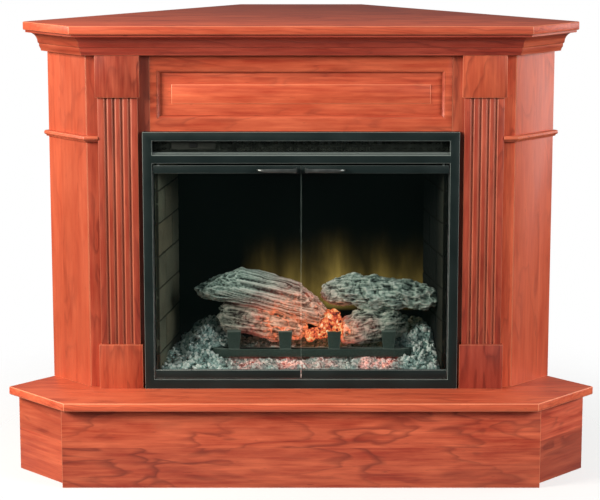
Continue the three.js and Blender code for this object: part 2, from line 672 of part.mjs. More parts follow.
// ---- Works behind the screen and above the ceiling
{
  const y = (screenY + screenT + casingBack - sheetT) / 2;
  const z = floorZ + rotorHeight;
  const half = rotorLength / 2;
  const [front, back] = [y - bracketW / 2, y + bracketW / 2];
  const cheek = (x) => block(x, x + bracketT, front, back, floorZ, z + rotorCheekRise);
  const foot = block(-half - bracketT, half + bracketT, front, back, floorZ, floorZ + sheetT);
  const bore = (x) => rod(shaftR + running, 3 * bracketT, 16, 'x').translate(x, y, z);
  const motor = rod(rotorMotorR, rotorMotorL, 24, 'x').translate(half + bracketT + rotorMotorL / 2, y, z);
  const frame = join(foot, cheek(-half - bracketT), cheek(half), motor);
  node('rotor_frame', cut(frame, bore(-half - bracketT / 2), bore(half)), galvanised);

  const shaft = rod(shaftR, rotorLength + bracketT, 12, 'x').translate(-bracketT / 2, y, z);
  const pitch = (rotorLength - 2 * rotorBare) / rotorPaddles;
  const paddles = [];
  for (let i = 0; i < rotorPaddles; i++) {
    const paddle = new THREE.BoxGeometry(pitch * 0.7, 2 * rotorR, paddleT);
    paddle.rotateX((i * 2 * Math.PI) / 5 + 0.3).translate(-half + rotorBare + (i + 0.5) * pitch, y, z);
    paddles.push(paddle);
  }
  node('flicker_rotor', join(shaft, ...paddles), brightEdge);
}
{
  const y = faceSet + casingDepth * 0.45;
  const low = ceilingZ + sheetT;
  const z = (low + casingTop - sheetT) / 2;
  const half = wheelLength / 2 + wheelEnd;
  const [front, back] = [y - blowerAhead, y + blowerBehind];
  const cheek = (x) => block(x, x + bracketT, front, back, low, z + blowerCheekRise);
  const foot = block(-half - bracketT, half + bracketT, front, back, low, low + sheetT / 2);
  const bore = (x) => rod(shaftR + running, 3 * bracketT, 16, 'x').translate(x, y, z);
  const motor = rod(blowerMotorR, blowerMotorL, 24, 'x').translate(half + bracketT + blowerMotorL / 2, y, z);
  node('heater_frame', cut(join(foot, cheek(-half - bracketT), cheek(half), motor),
    bore(-half - bracketT / 2), bore(half)), galvanised);

  const blades = [];
  for (let k = 0; k < 2 * wheelBlades; k++) {
    const a = (Math.PI * k) / wheelBlades;
    const r = k % 2 ? wheelR : wheelR - wheelRib;
    blades.push([y + r * Math.cos(a), z + r * Math.sin(a)]);
  }
  const shaft = rod(shaftR, 2 * half + bracketT, 12, 'x').translate(-bracketT / 2, y, z);
  node('blower_wheel', join(alongX(blades, -wheelLength / 2, wheelLength / 2), shaft), galvanised);

  const rows = [elementAhead + elementRow, elementAhead];
  const rods = rows.flatMap((ahead) => [-0.5, 0.5].map((k) =>
    rod(elementR, 2 * half - elementEndT - elementPlay, 10, 'x').translate(0, y - ahead, z + k * elementGap)));
  const middle = y - elementAhead - elementRow / 2;
  const end = (x) => block(x, x + elementEndT, middle - elementEndW / 2, middle + elementEndW / 2,
    z - elementEndW / 2, z + elementEndW / 2);
  node('heating_element', join(end(-half), ...rods, end(half - elementEndT)), iron);
}

// ---- Fuel bed: a repeatable wobble, lumpy logs, embers and the grate
const wobble = (a, b, seed) =>
  Math.sin(a * 1.7 + seed) * 0.5 + Math.sin(b * 2.3 + seed * 1.9) * 0.3 + Math.sin(a * 0.9 + b * 1.3 + seed * 0.7) * 0.4;

// A lump carried through [x, y, z, half depth, half height] stations.
function lump(stations, sides, seed, rough, grow = 0) {
  const positions = [];
  const rings = stations.length;
  stations.forEach(([x, y, z, ry, rz], i) => {
    for (let k = 0; k < sides; k++) {
      const a = (2 * Math.PI * k) / sides;
      const r = 1 + rough * wobble(i * 1.3, k * 1.1, seed);
      positions.push(x, y + (ry * r + grow) * Math.cos(a), z + (rz * r + grow) * Math.sin(a));
    }
  });
  const index = [];
  for (let i = 0; i + 1 < rings; i++) {
    for (let k = 0; k < sides; k++) {
      const m = (k + 1) % sides;
      index.push(i * sides + k, i * sides + m, (i + 1) * sides + m, i * sides + k, (i + 1) * sides + m, (i + 1) * sides + k);
    }
  }
  for (const [ring, end] of [[0, -1], [rings - 1, 1]]) {
    const [x, y, z] = stations[ring];
    positions.push(x + end * grow, y, z);
    const tip = positions.length / 3 - 1;
    for (let k = 0; k < sides; k++) {
      const m = (k + 1) % sides;
      index.push(...(end < 0 ? [tip, ring * sides + m, ring * sides + k] : [tip, ring * sides + k, ring * sides + m]));
    }
  }
  return outward(positions, index);
}

// The fuel bed is laid out in shares of its own envelope: u across from the middle of the
// log set, v back from the mouth and w up from the hearth, then half depth and half height.
const across = (u) => fuelCentre + u * fuelWidth;
const at = (u, v, w, ry, rz) =>
  [across(u), mouthY + v * fireboxDepth, deck + w * fuelHeight, ry * fuelHeight, rz * fuelHeight];

{
  const splitLog = (g = 0) => lump([
    at(-0.464, 0.402, 0.808, 0.031, 0.031), at(-0.436, 0.402, 0.804, 0.085, 0.077), at(-0.371, 0.397, 0.827, 0.115, 0.115),
    at(-0.282, 0.392, 0.850, 0.138, 0.158), at(-0.143, 0.381, 0.785, 0.146, 0.165), at(-0.043, 0.371, 0.719, 0.138, 0.162),
    at(0.032, 0.361, 0.615, 0.115, 0.123), at(0.075, 0.361, 0.569, 0.054, 0.058),
  ], 14, 1.1, 0.05, g);
  const lowerLog = (g = 0) => lump([
    at(-0.371, 0.474, 0.577, 0.046, 0.058), at(-0.354, 0.469, 0.562, 0.100, 0.123), at(-0.250, 0.454, 0.531, 0.123, 0.146),
    at(-0.125, 0.443, 0.492, 0.127, 0.146), at(-0.046, 0.443, 0.462, 0.108, 0.127), at(-0.014, 0.443, 0.446, 0.054, 0.062),
  ], 14, 2.6, 0.04, g);
  const barkLog = (g = 0) => lump([
    at(0.064, 0.546, 0.754, 0.046, 0.054), at(0.086, 0.541, 0.758, 0.108, 0.115), at(0.161, 0.526, 0.781, 0.131, 0.146),
    at(0.268, 0.474, 0.777, 0.135, 0.150), at(0.393, 0.392, 0.769, 0.119, 0.127), at(0.479, 0.320, 0.754, 0.073, 0.096),
    at(0.514, 0.278, 0.762, 0.031, 0.046),
  ], 14, 4.2, 0.05, g);
  const sawnLog = (g = 0) => lump([
    at(0.143, 0.340, 0.446, 0.100, 0.100), at(0.150, 0.345, 0.450, 0.112, 0.123), at(0.232, 0.402, 0.477, 0.127, 0.154),
    at(0.339, 0.454, 0.492, 0.115, 0.142), at(0.404, 0.485, 0.485, 0.062, 0.077),
  ], 14, 5.9, 0.03, g);
  const emberHeap = (g = 0) => lump([
    at(-0.007, 0.299, 0.385, 0.031, 0.027), at(0.025, 0.299, 0.415, 0.069, 0.058), at(0.068, 0.309, 0.469, 0.085, 0.108),
    at(0.100, 0.320, 0.500, 0.077, 0.127), at(0.129, 0.320, 0.454, 0.038, 0.069),
  ], 12, 7.4, 0.08, g);

  // The grate: a front bar with turned-back ends, four posts and the arms the logs lie on.
  const y0 = mouthY + grateSet;
  const z0 = deck + grateBase;
  const z1 = z0 + grateBarH;
  const postTop = z1 + gratePostRise;
  const [x0, x1] = [across(-0.414), across(0.436)];
  const [turn, tail] = [grateTurn, y0 + grateTurn + grateTail];
  const bend = turn * 0.35;
  const bar = raised([
    [x0 + turn, y0], [x1 - turn, y0], [x1 - bend, y0 + bend], [x1, y0 + turn], [x1, tail], [x1 - grateBarD, tail],
    [x1 - grateBarD, y0 + turn + 2], [x1 - turn, y0 + grateBarD], [x0 + turn, y0 + grateBarD],
    [x0 + grateBarD, y0 + turn + 2], [x0 + grateBarD, tail], [x0, tail], [x0, y0 + turn], [x0 + bend, y0 + bend],
  ], z0, z1);
  const posts = [-0.3125, -0.099, 0.1036, 0.33].map(across);
  const post = (x, g = 0) => block(x - gratePostW / 2 - g, x + gratePostW / 2 + g, y0 + 0.5 - g, y0 + gratePostW + g,
    z0 + 1, postTop + g);
  const arm = (x, g = 0) => block(x - grateArmW / 2 - g, x + grateArmW / 2 + g, y0 + 4 - g, y0 + grateArmL + g,
    z0 + 2 - g, z0 + 2 + grateArmW + g);
  const grate = join(bar, ...posts.map((x) => post(x)), ...posts.map((x) => arm(x)));
  const grateSpace = [block(x0 - fit, x1 + fit, y0 - fit, tail + fit, z0 - fit, z1 + fit),
    ...posts.map((x) => post(x, fit)), ...posts.map((x) => arm(x, fit))];

  node('grate', grate, iron);
  node('log_lower_left', cut(lowerLog(), ...grateSpace), bark);
  node('log_lower_right', cut(sawnLog(), ...grateSpace, lowerLog(fit)), bark);
  node('log_upper_left', cut(splitLog(), lowerLog(fit), ...grateSpace), bark);
  node('log_upper_right', cut(barkLog(), sawnLog(fit), lowerLog(fit), splitLog(fit)), bark);
  node('ember_heap', cut(emberHeap(), ...grateSpace, lowerLog(fit), sawnLog(fit), splitLog(fit), barkLog(fit)), ember);

  // The ember bed: a moulded skin of coals that rises towards the liners and the back.
  const positions = [];
  const hill = (x, u, wide, high) => high * fuelHeight * Math.exp(-(((x - across(u)) / (wide * fuelWidth)) ** 2));
  const heightAt = (x, t) => {
    const rise = hill(x, -0.42, 0.093, 0.25) + hill(x, 0.461, 0.086, 0.24) + hill(x, -0.107, 0.214, 0.054) +
      hill(x, 0.214, 0.196, 0.054) + 0.038 * fuelHeight;
    const lumps = coalSwell * wobble((25 * x) / fuelWidth, t * 9, 3.1);
    return bedLip + THREE.MathUtils.smoothstep(t, 0.04, 0.5) * rise + lumps * Math.min(1, t * 8);
  };
  for (let layer = 0; layer < 2; layer++) {
    for (let j = 0; j <= bedRows; j++) {
      const t = j / bedRows;
      const y = mouthY + t * fireboxDepth;
      const half = linerHalfAt(y) - fit;
      for (let i = 0; i <= bedColumns; i++) {
        const x = -half + (2 * half * i) / bedColumns;
        positions.push(x, y, layer ? floorZ : deck + heightAt(x, t));
      }
    }
  }
  const w = bedColumns + 1;
  const layerSize = w * (bedRows + 1);
  const index = [];
  for (let j = 0; j < bedRows; j++) {
    for (let i = 0; i < bedColumns; i++) {
      const a = j * w + i;
      index.push(a, a + 1, a + w + 1, a, a + w + 1, a + w);
      const b = a + layerSize;
      index.push(b, b + w + 1, b + 1, b, b + w, b + w + 1);
    }
  }
  const rim = [];
  for (let i = 0; i < bedColumns; i++) rim.push(i);
  for (let j = 0; j < bedRows; j++) rim.push(j * w + bedColumns);
  for (let i = bedColumns; i > 0; i--) rim.push(bedRows * w + i);
  for (let j = bedRows; j > 0; j--) rim.push(j * w);
  rim.forEach((a, k) => {
    const b = rim[(k + 1) % rim.length];
    index.push(a, a + layerSize, b + layerSize, a, b + layerSize, b);
  });
  const bed = outward(positions, index);
  node('ember_bed', cut(bed, ...grateSpace, lowerLog(fit), sawnLog(fit), emberHeap(fit), splitLog(fit), barkLog(fit)), ember);
}

// ---- Centre the footprint over the origin
for (const mesh of group.children) mesh.position.y = -(backY - slabFrontLip) / 2;

export default group;
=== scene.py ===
# %% [markdown]
# # A corner fireplace in cherry, steel, glass and glowing coals
# The solids of the cabinet and of the fire arrive ready made, as a fixed frame in metres, with +Z up and the
# front towards -Y. This lesson gives them their surfaces. Most boards keep their shape and get eased edges and
# grain that runs along each one. The mesh, the bricks, the coals and the screws repeat, so Geometry Nodes make
# them. The logs are carved by moving their points in code, which suits a form with no rule but its own bark.

# %% Load the frame
import math

import bmesh
import bpy
import numpy as np
from mathutils import Matrix, Vector, noise


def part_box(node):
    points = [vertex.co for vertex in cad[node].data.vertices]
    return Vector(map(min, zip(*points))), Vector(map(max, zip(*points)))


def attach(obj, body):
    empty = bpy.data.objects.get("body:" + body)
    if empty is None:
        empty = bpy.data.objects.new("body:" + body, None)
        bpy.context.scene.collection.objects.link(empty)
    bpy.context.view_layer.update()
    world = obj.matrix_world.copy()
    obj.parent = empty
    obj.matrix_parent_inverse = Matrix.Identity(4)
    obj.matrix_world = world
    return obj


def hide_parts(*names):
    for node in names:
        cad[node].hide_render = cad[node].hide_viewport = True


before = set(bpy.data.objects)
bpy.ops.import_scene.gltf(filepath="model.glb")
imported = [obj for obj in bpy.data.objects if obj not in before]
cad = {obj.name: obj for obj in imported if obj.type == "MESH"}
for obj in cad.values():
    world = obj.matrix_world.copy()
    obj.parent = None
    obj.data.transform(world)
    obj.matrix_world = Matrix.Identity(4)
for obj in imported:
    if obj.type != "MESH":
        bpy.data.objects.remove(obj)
scene = bpy.context.scene
MM = 0.001
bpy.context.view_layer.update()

# %% [markdown]
# ## The camera
# The photograph was taken from about 4.5 m with a long lens, from above the mantel and tilted a little down.
# The upright edges lean in by only a few pixels, so most of the tilt was taken up by moving the picture down
# on the film. A lens shift does that here, and the lens, height and tilt come from fitting the main corners.

# %% Camera
camera_data = bpy.data.cameras.new("camera")
camera_data.sensor_fit = "HORIZONTAL"
camera_data.sensor_width = 36.0
camera_data.lens = 117.12
camera_data.shift_x = -0.0017
camera_data.shift_y = -0.12
camera_data.clip_end = 60.0
camera = bpy.data.objects.new("camera", camera_data)
camera.location = (0.0, -4.56008, 1.443)
camera.rotation_euler = (math.pi / 2 - 0.1702, 0.0, 0.0)
scene.collection.objects.link(camera)
scene.camera = camera
scene.view_settings.view_transform = "Standard"
print("camera at", tuple(camera.location), "lens", camera_data.lens)

# %% [markdown]
# ## Small tools
# Three things are needed all the way through: a way to write colours as the hex values that paint charts use,
# a way to add a node with its settings and links in one line, and a way to put a finished mesh into the frame.
# Hex values are sRGB, and shaders count in linear light, so one function turns one into the other.


# %% Colours, nodes and materials
def linear(hex_colour):
    """An sRGB hex colour as the linear RGBA, fully solid, that a shader expects."""
    parts = [int(hex_colour[i : i + 2], 16) / 255 for i in (1, 3, 5)]
    return (*(c / 12.92 if c <= 0.04045 else ((c + 0.055) / 1.055) ** 2.4 for c in parts), 1.0)


def add(tree, kind, inputs=None, stops=None, **settings):
    """Adds one node. An input given as a socket is linked, and any other value is typed in."""
    node = tree.nodes.new(kind)
    for key, value in settings.items():
        setattr(node, key, value)
    for key, value in (inputs or {}).items():
        if isinstance(value, bpy.types.NodeSocket):
            tree.links.new(value, node.inputs[key])
        else:
            node.inputs[key].default_value = value
    for i, (place, colour) in enumerate(stops or []):
        element = node.color_ramp.elements[i] if i < 2 else node.color_ramp.elements.new(place)
        element.position, element.color = place, colour
    return node


def new_finish(name, sockets):
    """A material with one Principled surface whose plain numbers and colours are in sockets."""
    material = bpy.data.materials.new(name)
    material.use_nodes = True
    tree = material.node_tree
    surface = tree.nodes["Principled BSDF"]
    for key, value in sockets.items():
        surface.inputs[key].default_value = value
    return material, tree, surface


print("mid grey in linear light:", [round(c, 3) for c in linear("#808080")])


# %% Putting a piece into the frame
def place(mesh, name, body, slot, finishes, stands_for=()):
    """Links a mesh as a piece of the fireplace and says what it rides on and what it replaces."""
    piece = bpy.data.objects.new(name, mesh)
    scene.collection.objects.link(piece)
    mesh.materials.clear()
    for finish in finishes:
        mesh.materials.append(finish)
    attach(piece, body)
    if stands_for:
        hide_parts(*stands_for)


def points_of(mesh):
    """The corner places of a mesh as an array, one row for each vertex."""
    places = np.empty(len(mesh.vertices) * 3, np.float32)
    mesh.vertices.foreach_get("co", places)
    return places.reshape(-1, 3)


def mark(mesh, name, values, kind="FLOAT"):
    """Stores one value for each point under a name that a material can read."""
    layer = mesh.attributes.new(name, kind, "POINT")
    layer.data.foreach_set("vector" if kind == "FLOAT_VECTOR" else "value", np.asarray(values, np.float32).ravel())


# %% [markdown]
# ## Eased edges
# No sawn board or folded sheet has a perfectly sharp corner. Sandpaper or a press brake leaves a small round,
# and that round catches the light as a thin line. The solids come as loose triangles, so a copy is merged, its
# flat triangles are joined into whole faces, and only the edges that turn sharply are bevelled. The new narrow
# faces are marked, so that a finish can be paler there: partly wear, as on rubbed edges, and partly a painted
# highlight that strengthens the line the round catches.


# %% A merged copy with eased edges
def eased_copy(node, ease, steps=2, turn=35.0):
    """A copy of a solid's mesh with its sharp edges rounded by ease, in metres."""
    bm = bmesh.new()
    bm.from_mesh(cad[node].data)
    bmesh.ops.remove_doubles(bm, verts=bm.verts, dist=0.02 * MM)
    bmesh.ops.dissolve_limit(bm, angle_limit=math.radians(0.6), verts=bm.verts, edges=bm.edges)
    bmesh.ops.recalc_face_normals(bm, faces=bm.faces)
    # Marks the bevelled faces, which finishes paint paler for wear and a painted highlight.
    rubbed_and_highlit = bm.faces.layers.float.new("rubbed_and_highlit")
    sharp = [e for e in bm.edges if e.is_manifold and e.calc_face_angle(0.0) > math.radians(turn)]
    if ease and sharp:
        made = bmesh.ops.bevel(bm, geom=sharp, offset=ease, offset_type="OFFSET", segments=steps,
                               profile=0.5, affect="EDGES", clamp_overlap=True)
        for face in made["faces"]:
            face[rubbed_and_highlit] = 1.0
    mesh = bpy.data.meshes.new(node + "_dressed")
    bm.to_mesh(mesh)
    bm.free()
    mesh.shade_smooth()
    mesh.set_sharp_from_angle(angle=math.radians(28))
    return mesh


# %% [markdown]
# ## Cherry wood
# The cabinet is cherry with an orange-red stain under satin lacquer. Cherry is a smooth, fine-pored wood. What
# the eye sees is soft cathedral figure where a board was sawn near the middle of the log, straight lines nearer
# its edge, cloudy patches where the stain went in more, fine streaks along the fibres and a few dark gum
# flecks. Wide boards are glued up from narrower planks, and each plank has its own tone. The figure is made as
# it is in a tree: rings round a slightly tapering, wandering pith, cut by the plane of the board.

# %% Where the grain runs
PLANK = 0.096  # planks of a glued-up board are about 96 mm wide


def lay_grain(mesh, along, across, seed, tone=1.0, red=0.0, figure=1.0):
    """Gives each point its place in the board: along the fibres, across the board and through it."""
    rng = np.random.default_rng(seed)
    along, across = Vector(along).normalized(), Vector(across).normalized()
    through = along.cross(across)
    places = points_of(mesh)
    board = np.stack([places @ np.array(axis) for axis in (along, across, through)], axis=1)
    board[:, 1] -= board[:, 1].min()
    board += (rng.uniform(1.0, 9.0), PLANK * int(rng.integers(1, 40)) + 0.002, rng.uniform(-0.01, 0.01))
    mark(mesh, "board", board, "FLOAT_VECTOR")
    for name, value in (("tone", tone), ("red", red), ("figure", figure)):
        mark(mesh, name, np.full(len(places), value))


print("planks are", PLANK / MM, "mm wide")


# %% The stained cherry itself
def stained_cherry(name, pale, deep, line, patch, sheen):
    """Stained and lacquered cherry: two tones, the colour of its ring lines and of its darkest patches."""
    wood, tree, surface = new_finish(name, {"IOR": 1.5, "Coat Weight": sheen, "Coat Roughness": 0.3})
    board = add(tree, "ShaderNodeAttribute", attribute_name="board").outputs["Vector"]
    part = add(tree, "ShaderNodeSeparateXYZ", {0: board})
    # Each plank has its own number, and from it three random values.
    planks = add(tree, "ShaderNodeMath", {0: part.outputs["Y"], 1: PLANK}, operation="DIVIDE").outputs[0]
    number = add(tree, "ShaderNodeMath", {0: planks}, operation="FLOOR").outputs[0]
    chance = add(tree, "ShaderNodeTexWhiteNoise", {"W": number}, noise_dimensions="1D").outputs["Color"]
    luck = add(tree, "ShaderNodeSeparateXYZ", {0: chance})
    side = add(tree, "ShaderNodeMath", {0: planks, 1: number}, operation="SUBTRACT").outputs[0]
    # The pith lies 15 to 40 mm behind the face and up to 34 mm off the plank's middle.
    off = add(tree, "ShaderNodeMath", {0: luck.outputs["Y"], 1: 0.7, 2: 0.15}, operation="MULTIPLY_ADD").outputs[0]
    y = add(tree, "ShaderNodeMath", {0: side, 1: off}, operation="SUBTRACT").outputs[0]
    y = add(tree, "ShaderNodeMath", {0: y, 1: PLANK}, operation="MULTIPLY").outputs[0]
    x = add(tree, "ShaderNodeMath", {0: luck.outputs["X"], 1: 9.0, 2: part.outputs["X"]},
            operation="MULTIPLY_ADD").outputs[0]
    z = add(tree, "ShaderNodeMath", {0: luck.outputs["Z"], 1: 0.025, 2: 0.015}, operation="MULTIPLY_ADD").outputs[0]
    z = add(tree, "ShaderNodeMath", {0: z, 1: part.outputs["Z"]}, operation="ADD").outputs[0]
    spot = add(tree, "ShaderNodeCombineXYZ", {0: x, 1: y, 2: z}).outputs[0]

    def clouds(scale, detail, rough=0.5, bent=0.0):
        stretched = add(tree, "ShaderNodeVectorMath", {0: spot, 1: scale}, operation="MULTIPLY").outputs[0]
        return add(tree, "ShaderNodeTexNoise", {"Vector": stretched, "Scale": 1.0, "Detail": detail,
                   "Roughness": rough, "Distortion": bent}).outputs["Fac"]

    # Rings round a pith that tapers by 4 mm in 100 mm and wanders: thin lines that run with the fibres, bend round
    # one another and meet in arches. Each grows darker slowly and ends sharply. Cherry's are 3 to 6 mm apart, and
    # they are drawn 9 mm apart so that they show.
    wander = add(tree, "ShaderNodeMath", {0: clouds((3.4, 15.0, 15.0), 2.0), 1: -0.5}, operation="ADD").outputs[0]
    y2 = add(tree, "ShaderNodeMath", {0: wander, 1: 0.06, 2: y}, operation="MULTIPLY_ADD").outputs[0]
    round_pith = add(tree, "ShaderNodeCombineXYZ", {1: y2, 2: z}).outputs[0]
    radius = add(tree, "ShaderNodeVectorMath", {0: round_pith}, operation="LENGTH").outputs["Value"]
    grown = add(tree, "ShaderNodeMath", {0: x, 1: 0.04, 2: radius}, operation="MULTIPLY_ADD").outputs[0]
    ring = add(tree, "ShaderNodeMath", {0: grown, 1: 0.009}, operation="DIVIDE").outputs[0]
    ring = add(tree, "ShaderNodeMath", {0: clouds((6.0, 24.0, 24.0), 2.0, 0.5, 0.5), 1: 3.4, 2: ring},
               operation="MULTIPLY_ADD").outputs[0]
    late = add(tree, "ShaderNodeMath", {0: ring}, operation="FRACT").outputs[0]
    late = add(tree, "ShaderNodeValToRGB", {0: late}, stops=[(0.0, (0.5,) * 3 + (1,)), (0.08, (0, 0, 0, 1)),
               (0.62, (0.0, 0.0, 0.0, 1)), (0.94, (1, 1, 1, 1)), (1.0, (0.5,) * 3 + (1,))]).outputs["Color"]
    shown = add(tree, "ShaderNodeMapRange", {0: clouds((3.0, 12.0, 12.0), 2.0), 1: 0.40, 2: 0.62, 3: 0.08, 4: 0.60})
    late = add(tree, "ShaderNodeMath", {0: late, 1: shown.outputs[0]}, operation="MULTIPLY").outputs[0]

    # Streaks of a millimetre or two are drawn a little coarse, so that they show from four metres.
    streaks = clouds((6.0, 130.0, 130.0), 6.0, 0.72)
    cloudy = clouds((7.0, 38.0, 38.0), 3.0, 0.55, 0.3)
    broad = clouds((2.6, 9.0, 9.0), 3.0, 0.5, 0.4)
    blend = add(tree, "ShaderNodeMath", {0: streaks, 1: 1.25, 2: cloudy}, operation="MULTIPLY_ADD").outputs[0]
    blend = add(tree, "ShaderNodeMath", {0: broad, 1: 0.35, 2: blend}, operation="MULTIPLY_ADD").outputs[0]
    figure = add(tree, "ShaderNodeAttribute", attribute_name="figure").outputs["Fac"]
    blend = add(tree, "ShaderNodeMath", {0: blend, 1: -1.3}, operation="ADD").outputs[0]
    blend = add(tree, "ShaderNodeMath", {0: blend, 1: figure}, operation="MULTIPLY").outputs[0]
    blend = add(tree, "ShaderNodeMapRange", {0: blend, 1: -0.38, 2: 0.34, 3: 0.0, 4: 1.0}).outputs[0]
    colour = add(tree, "ShaderNodeMix", {0: blend, 6: linear(deep), 7: linear(pale)}, data_type="RGBA").outputs[2]
    late = add(tree, "ShaderNodeMath", {0: late, 1: figure}, operation="MULTIPLY", use_clamp=True).outputs[0]
    colour = add(tree, "ShaderNodeMix", {0: late, 6: colour, 7: linear(line)}, data_type="RGBA").outputs[2]
    dark = add(tree, "ShaderNodeMapRange", {0: clouds((2.4, 14.0, 14.0), 4.0, 0.6, 0.7), 1: 0.50, 2: 0.80, 3: 0.0,
               4: 0.36}).outputs[0]
    dark = add(tree, "ShaderNodeMath", {0: dark, 1: figure}, operation="MULTIPLY", use_clamp=True).outputs[0]
    colour = add(tree, "ShaderNodeMix", {0: dark, 6: colour, 7: linear(patch)}, data_type="RGBA").outputs[2]
    fleck = add(tree, "ShaderNodeMapRange", {0: clouds((30.0, 300.0, 300.0), 2.0), 1: 0.70, 2: 0.78, 3: 0.0, 4: 0.6})
    colour = add(tree, "ShaderNodeMix", {0: fleck.outputs[0], 6: colour, 7: linear(line)},
                 data_type="RGBA").outputs[2]

    # The plank's tone, the piece's own tone and redness, painted shade in the grooves and paler eased edges.
    tone = add(tree, "ShaderNodeAttribute", attribute_name="tone").outputs["Fac"]
    own = add(tree, "ShaderNodeMath", {0: luck.outputs["Z"], 1: 0.20, 2: 0.90}, operation="MULTIPLY_ADD").outputs[0]
    own = add(tree, "ShaderNodeMath", {0: own, 1: tone}, operation="MULTIPLY").outputs[0]
    colour = add(tree, "ShaderNodeVectorMath", {0: colour, "Scale": own}, operation="SCALE").outputs[0]
    red = add(tree, "ShaderNodeAttribute", attribute_name="red").outputs["Fac"]
    purple = add(tree, "ShaderNodeVectorMath", {0: colour, 1: (0.85, 0.60, 0.90)}, operation="MULTIPLY").outputs[0]
    colour = add(tree, "ShaderNodeMix", {0: red, 6: colour, 7: purple}, data_type="RGBA").outputs[2]
    # Painted shade: the deeper a point lies in a groove, the darker it is, standing also for stain gathered there.
    groove_shade = add(tree, "ShaderNodeAttribute", attribute_name="groove_shade").outputs["Fac"]
    shaded_in_grooves = add(tree, "ShaderNodeVectorMath", {0: colour, 1: (0.34, 0.20, 0.30)}, operation="MULTIPLY").outputs[0]
    colour = add(tree, "ShaderNodeMix", {0: groove_shade, 6: colour, 7: shaded_in_grooves}, data_type="RGBA").outputs[2]
    # Painted highlight and wear: the eased edges are paler.
    rubbed_and_highlit = add(tree, "ShaderNodeAttribute", attribute_name="rubbed_and_highlit").outputs["Fac"]
    rubbed_and_highlit = add(tree, "ShaderNodeMath", {0: rubbed_and_highlit, 1: 0.45}, operation="MULTIPLY").outputs[0]
    wear_and_highlight = add(tree, "ShaderNodeVectorMath", {0: linear("#F0A078")[:3], "Scale": tone}, operation="SCALE").outputs[0]
    colour = add(tree, "ShaderNodeMix", {0: rubbed_and_highlit, 6: colour, 7: wear_and_highlight}, data_type="RGBA").outputs[2]
    tree.links.new(colour, surface.inputs["Base Color"])

    rough = add(tree, "ShaderNodeMapRange", {0: cloudy, 1: 0.3, 2: 0.7, 3: 0.36, 4: 0.5}).outputs[0]
    tree.links.new(rough, surface.inputs["Roughness"])
    bump = add(tree, "ShaderNodeBump", {"Strength": 0.12, "Distance": 0.0004, "Height": streaks})
    tree.links.new(bump.outputs["Normal"], surface.inputs["Normal"])
    return wood


cherry = stained_cherry("stained_cherry", pale="#E0704A", deep="#AA3C26", line="#74281C", patch="#78281E",
                        sheen=0.18)
print("cherry nodes:", len(cherry.node_tree.nodes))

# %% [markdown]
# ## The cherry pieces
# Fibres run the long way of each board: upright in the stiles, the side panels, the pilasters and their blocks,
# level in everything else. The tone of each piece is set from the photograph: the inner stiles and the
# left block are browner, the boards of the hearth's sides are glued from two planks of clearly different tone,
# and the crown and the right plinth block are redder. Edges of flat boards are eased by about a millimetre, and
# those of the mouldings by less, because their steps are small.

# %% Dress the cherry boards
UP = (0.0, 0.0, 1.0)
EAST = (1.0, 0.0, 0.0)
SLANT = {"right": (1.0, 1.0, 0.0), "left": (-1.0, 1.0, 0.0)}
NORTH = (0.0, 1.0, 0.0)

# name: fibres, across, ease in mm, seed, tone, redness, strength of the figure
cherry_boards = {
    "hearth_slab": (EAST, NORTH, 1.2, 11, 1.00, 0.00, 0.70),
    "hearth_front_board": (EAST, UP, 1.0, 24, 1.00, 0.12, 1.20),
    "hearth_side_board_right": (SLANT["right"], UP, 1.0, 41, 1.00, 0.30, 1.05),
    "hearth_side_board_left": (SLANT["left"], UP, 1.0, 35, 0.92, 0.12, 1.00),
    "face_stile_right": (UP, EAST, 1.2, 48, 0.80, 0.08, 0.9),
    "face_stile_left": (UP, EAST, 1.2, 52, 0.62, 0.35, 0.9),
    "side_panel_right": (UP, SLANT["right"], 1.2, 63, 1.03, 0.06, 0.50),
    "side_panel_left": (UP, SLANT["left"], 1.2, 70, 0.90, 0.00, 0.45),
    "frieze_frame": (EAST, UP, 1.5, 88, 0.98, 0.03, 0.90),
    "frieze_panel": (EAST, UP, 1.5, 93, 1.14, 0.00, 1.00),
    "pilaster_right": (UP, EAST, 0.7, 102, 0.80, 0.50, 1.00),
    "pilaster_left": (UP, EAST, 0.7, 117, 0.80, 0.45, 1.00),
    "top_block_right": (UP, EAST, 1.0, 121, 0.98, 0.00, 0.8),
    "top_block_left": (UP, EAST, 1.0, 133, 0.68, 0.40, 1.4),
    "plinth_block_right": (UP, EAST, 1.0, 144, 0.68, 0.70, 0.80),
    "plinth_block_left": (UP, EAST, 1.0, 158, 0.78, 0.05, 0.90),
    "waist_band_right": (EAST, UP, 0.5, 161, 1.08, 0.00, 0.8),
    "waist_band_left": (EAST, UP, 0.5, 172, 1.00, 0.10, 0.8),
    "crown_front": (EAST, UP, 0.4, 184, 0.98, 0.75, 0.80),
    "crown_side_right": (SLANT["right"], UP, 0.4, 195, 0.92, 0.05, 0.8),
    "crown_side_left": (SLANT["left"], UP, 0.4, 206, 0.68, 0.15, 0.80),
    "mantel_shelf": (EAST, NORTH, 1.0, 217, 1.05, 0.12, 0.70),
}
# Where painted shade, with the stain that gathers there, darkens the grooves: how deep they are behind the piece's
# front, in metres.
groove_shade_depths = {"pilaster_right": 0.006, "pilaster_left": 0.006, "frieze_frame": 0.012, "frieze_panel": 0.016}
# Boards whose tone runs from one edge to the other: the tone at the left edge and at the right one. On the
# stiles the dark end, beside the insert, is painted shadow of the pilaster.
tones_across = {"face_stile_left": (1.05, 0.56), "face_stile_right": (0.74, 1.34), "hearth_front_board": (0.88, 1.14)}
# Boards whose edges are paler than their top face: the tone of the edges.
pale_edges = {"hearth_slab": 1.36, "mantel_shelf": 1.06}
# Where two planks of one board are glued: height of the joint and the tones above and below it.
glued = {"hearth_side_board_left": (0.100, 0.78, 1.02), "hearth_side_board_right": (0.100, 1.12, 0.80)}


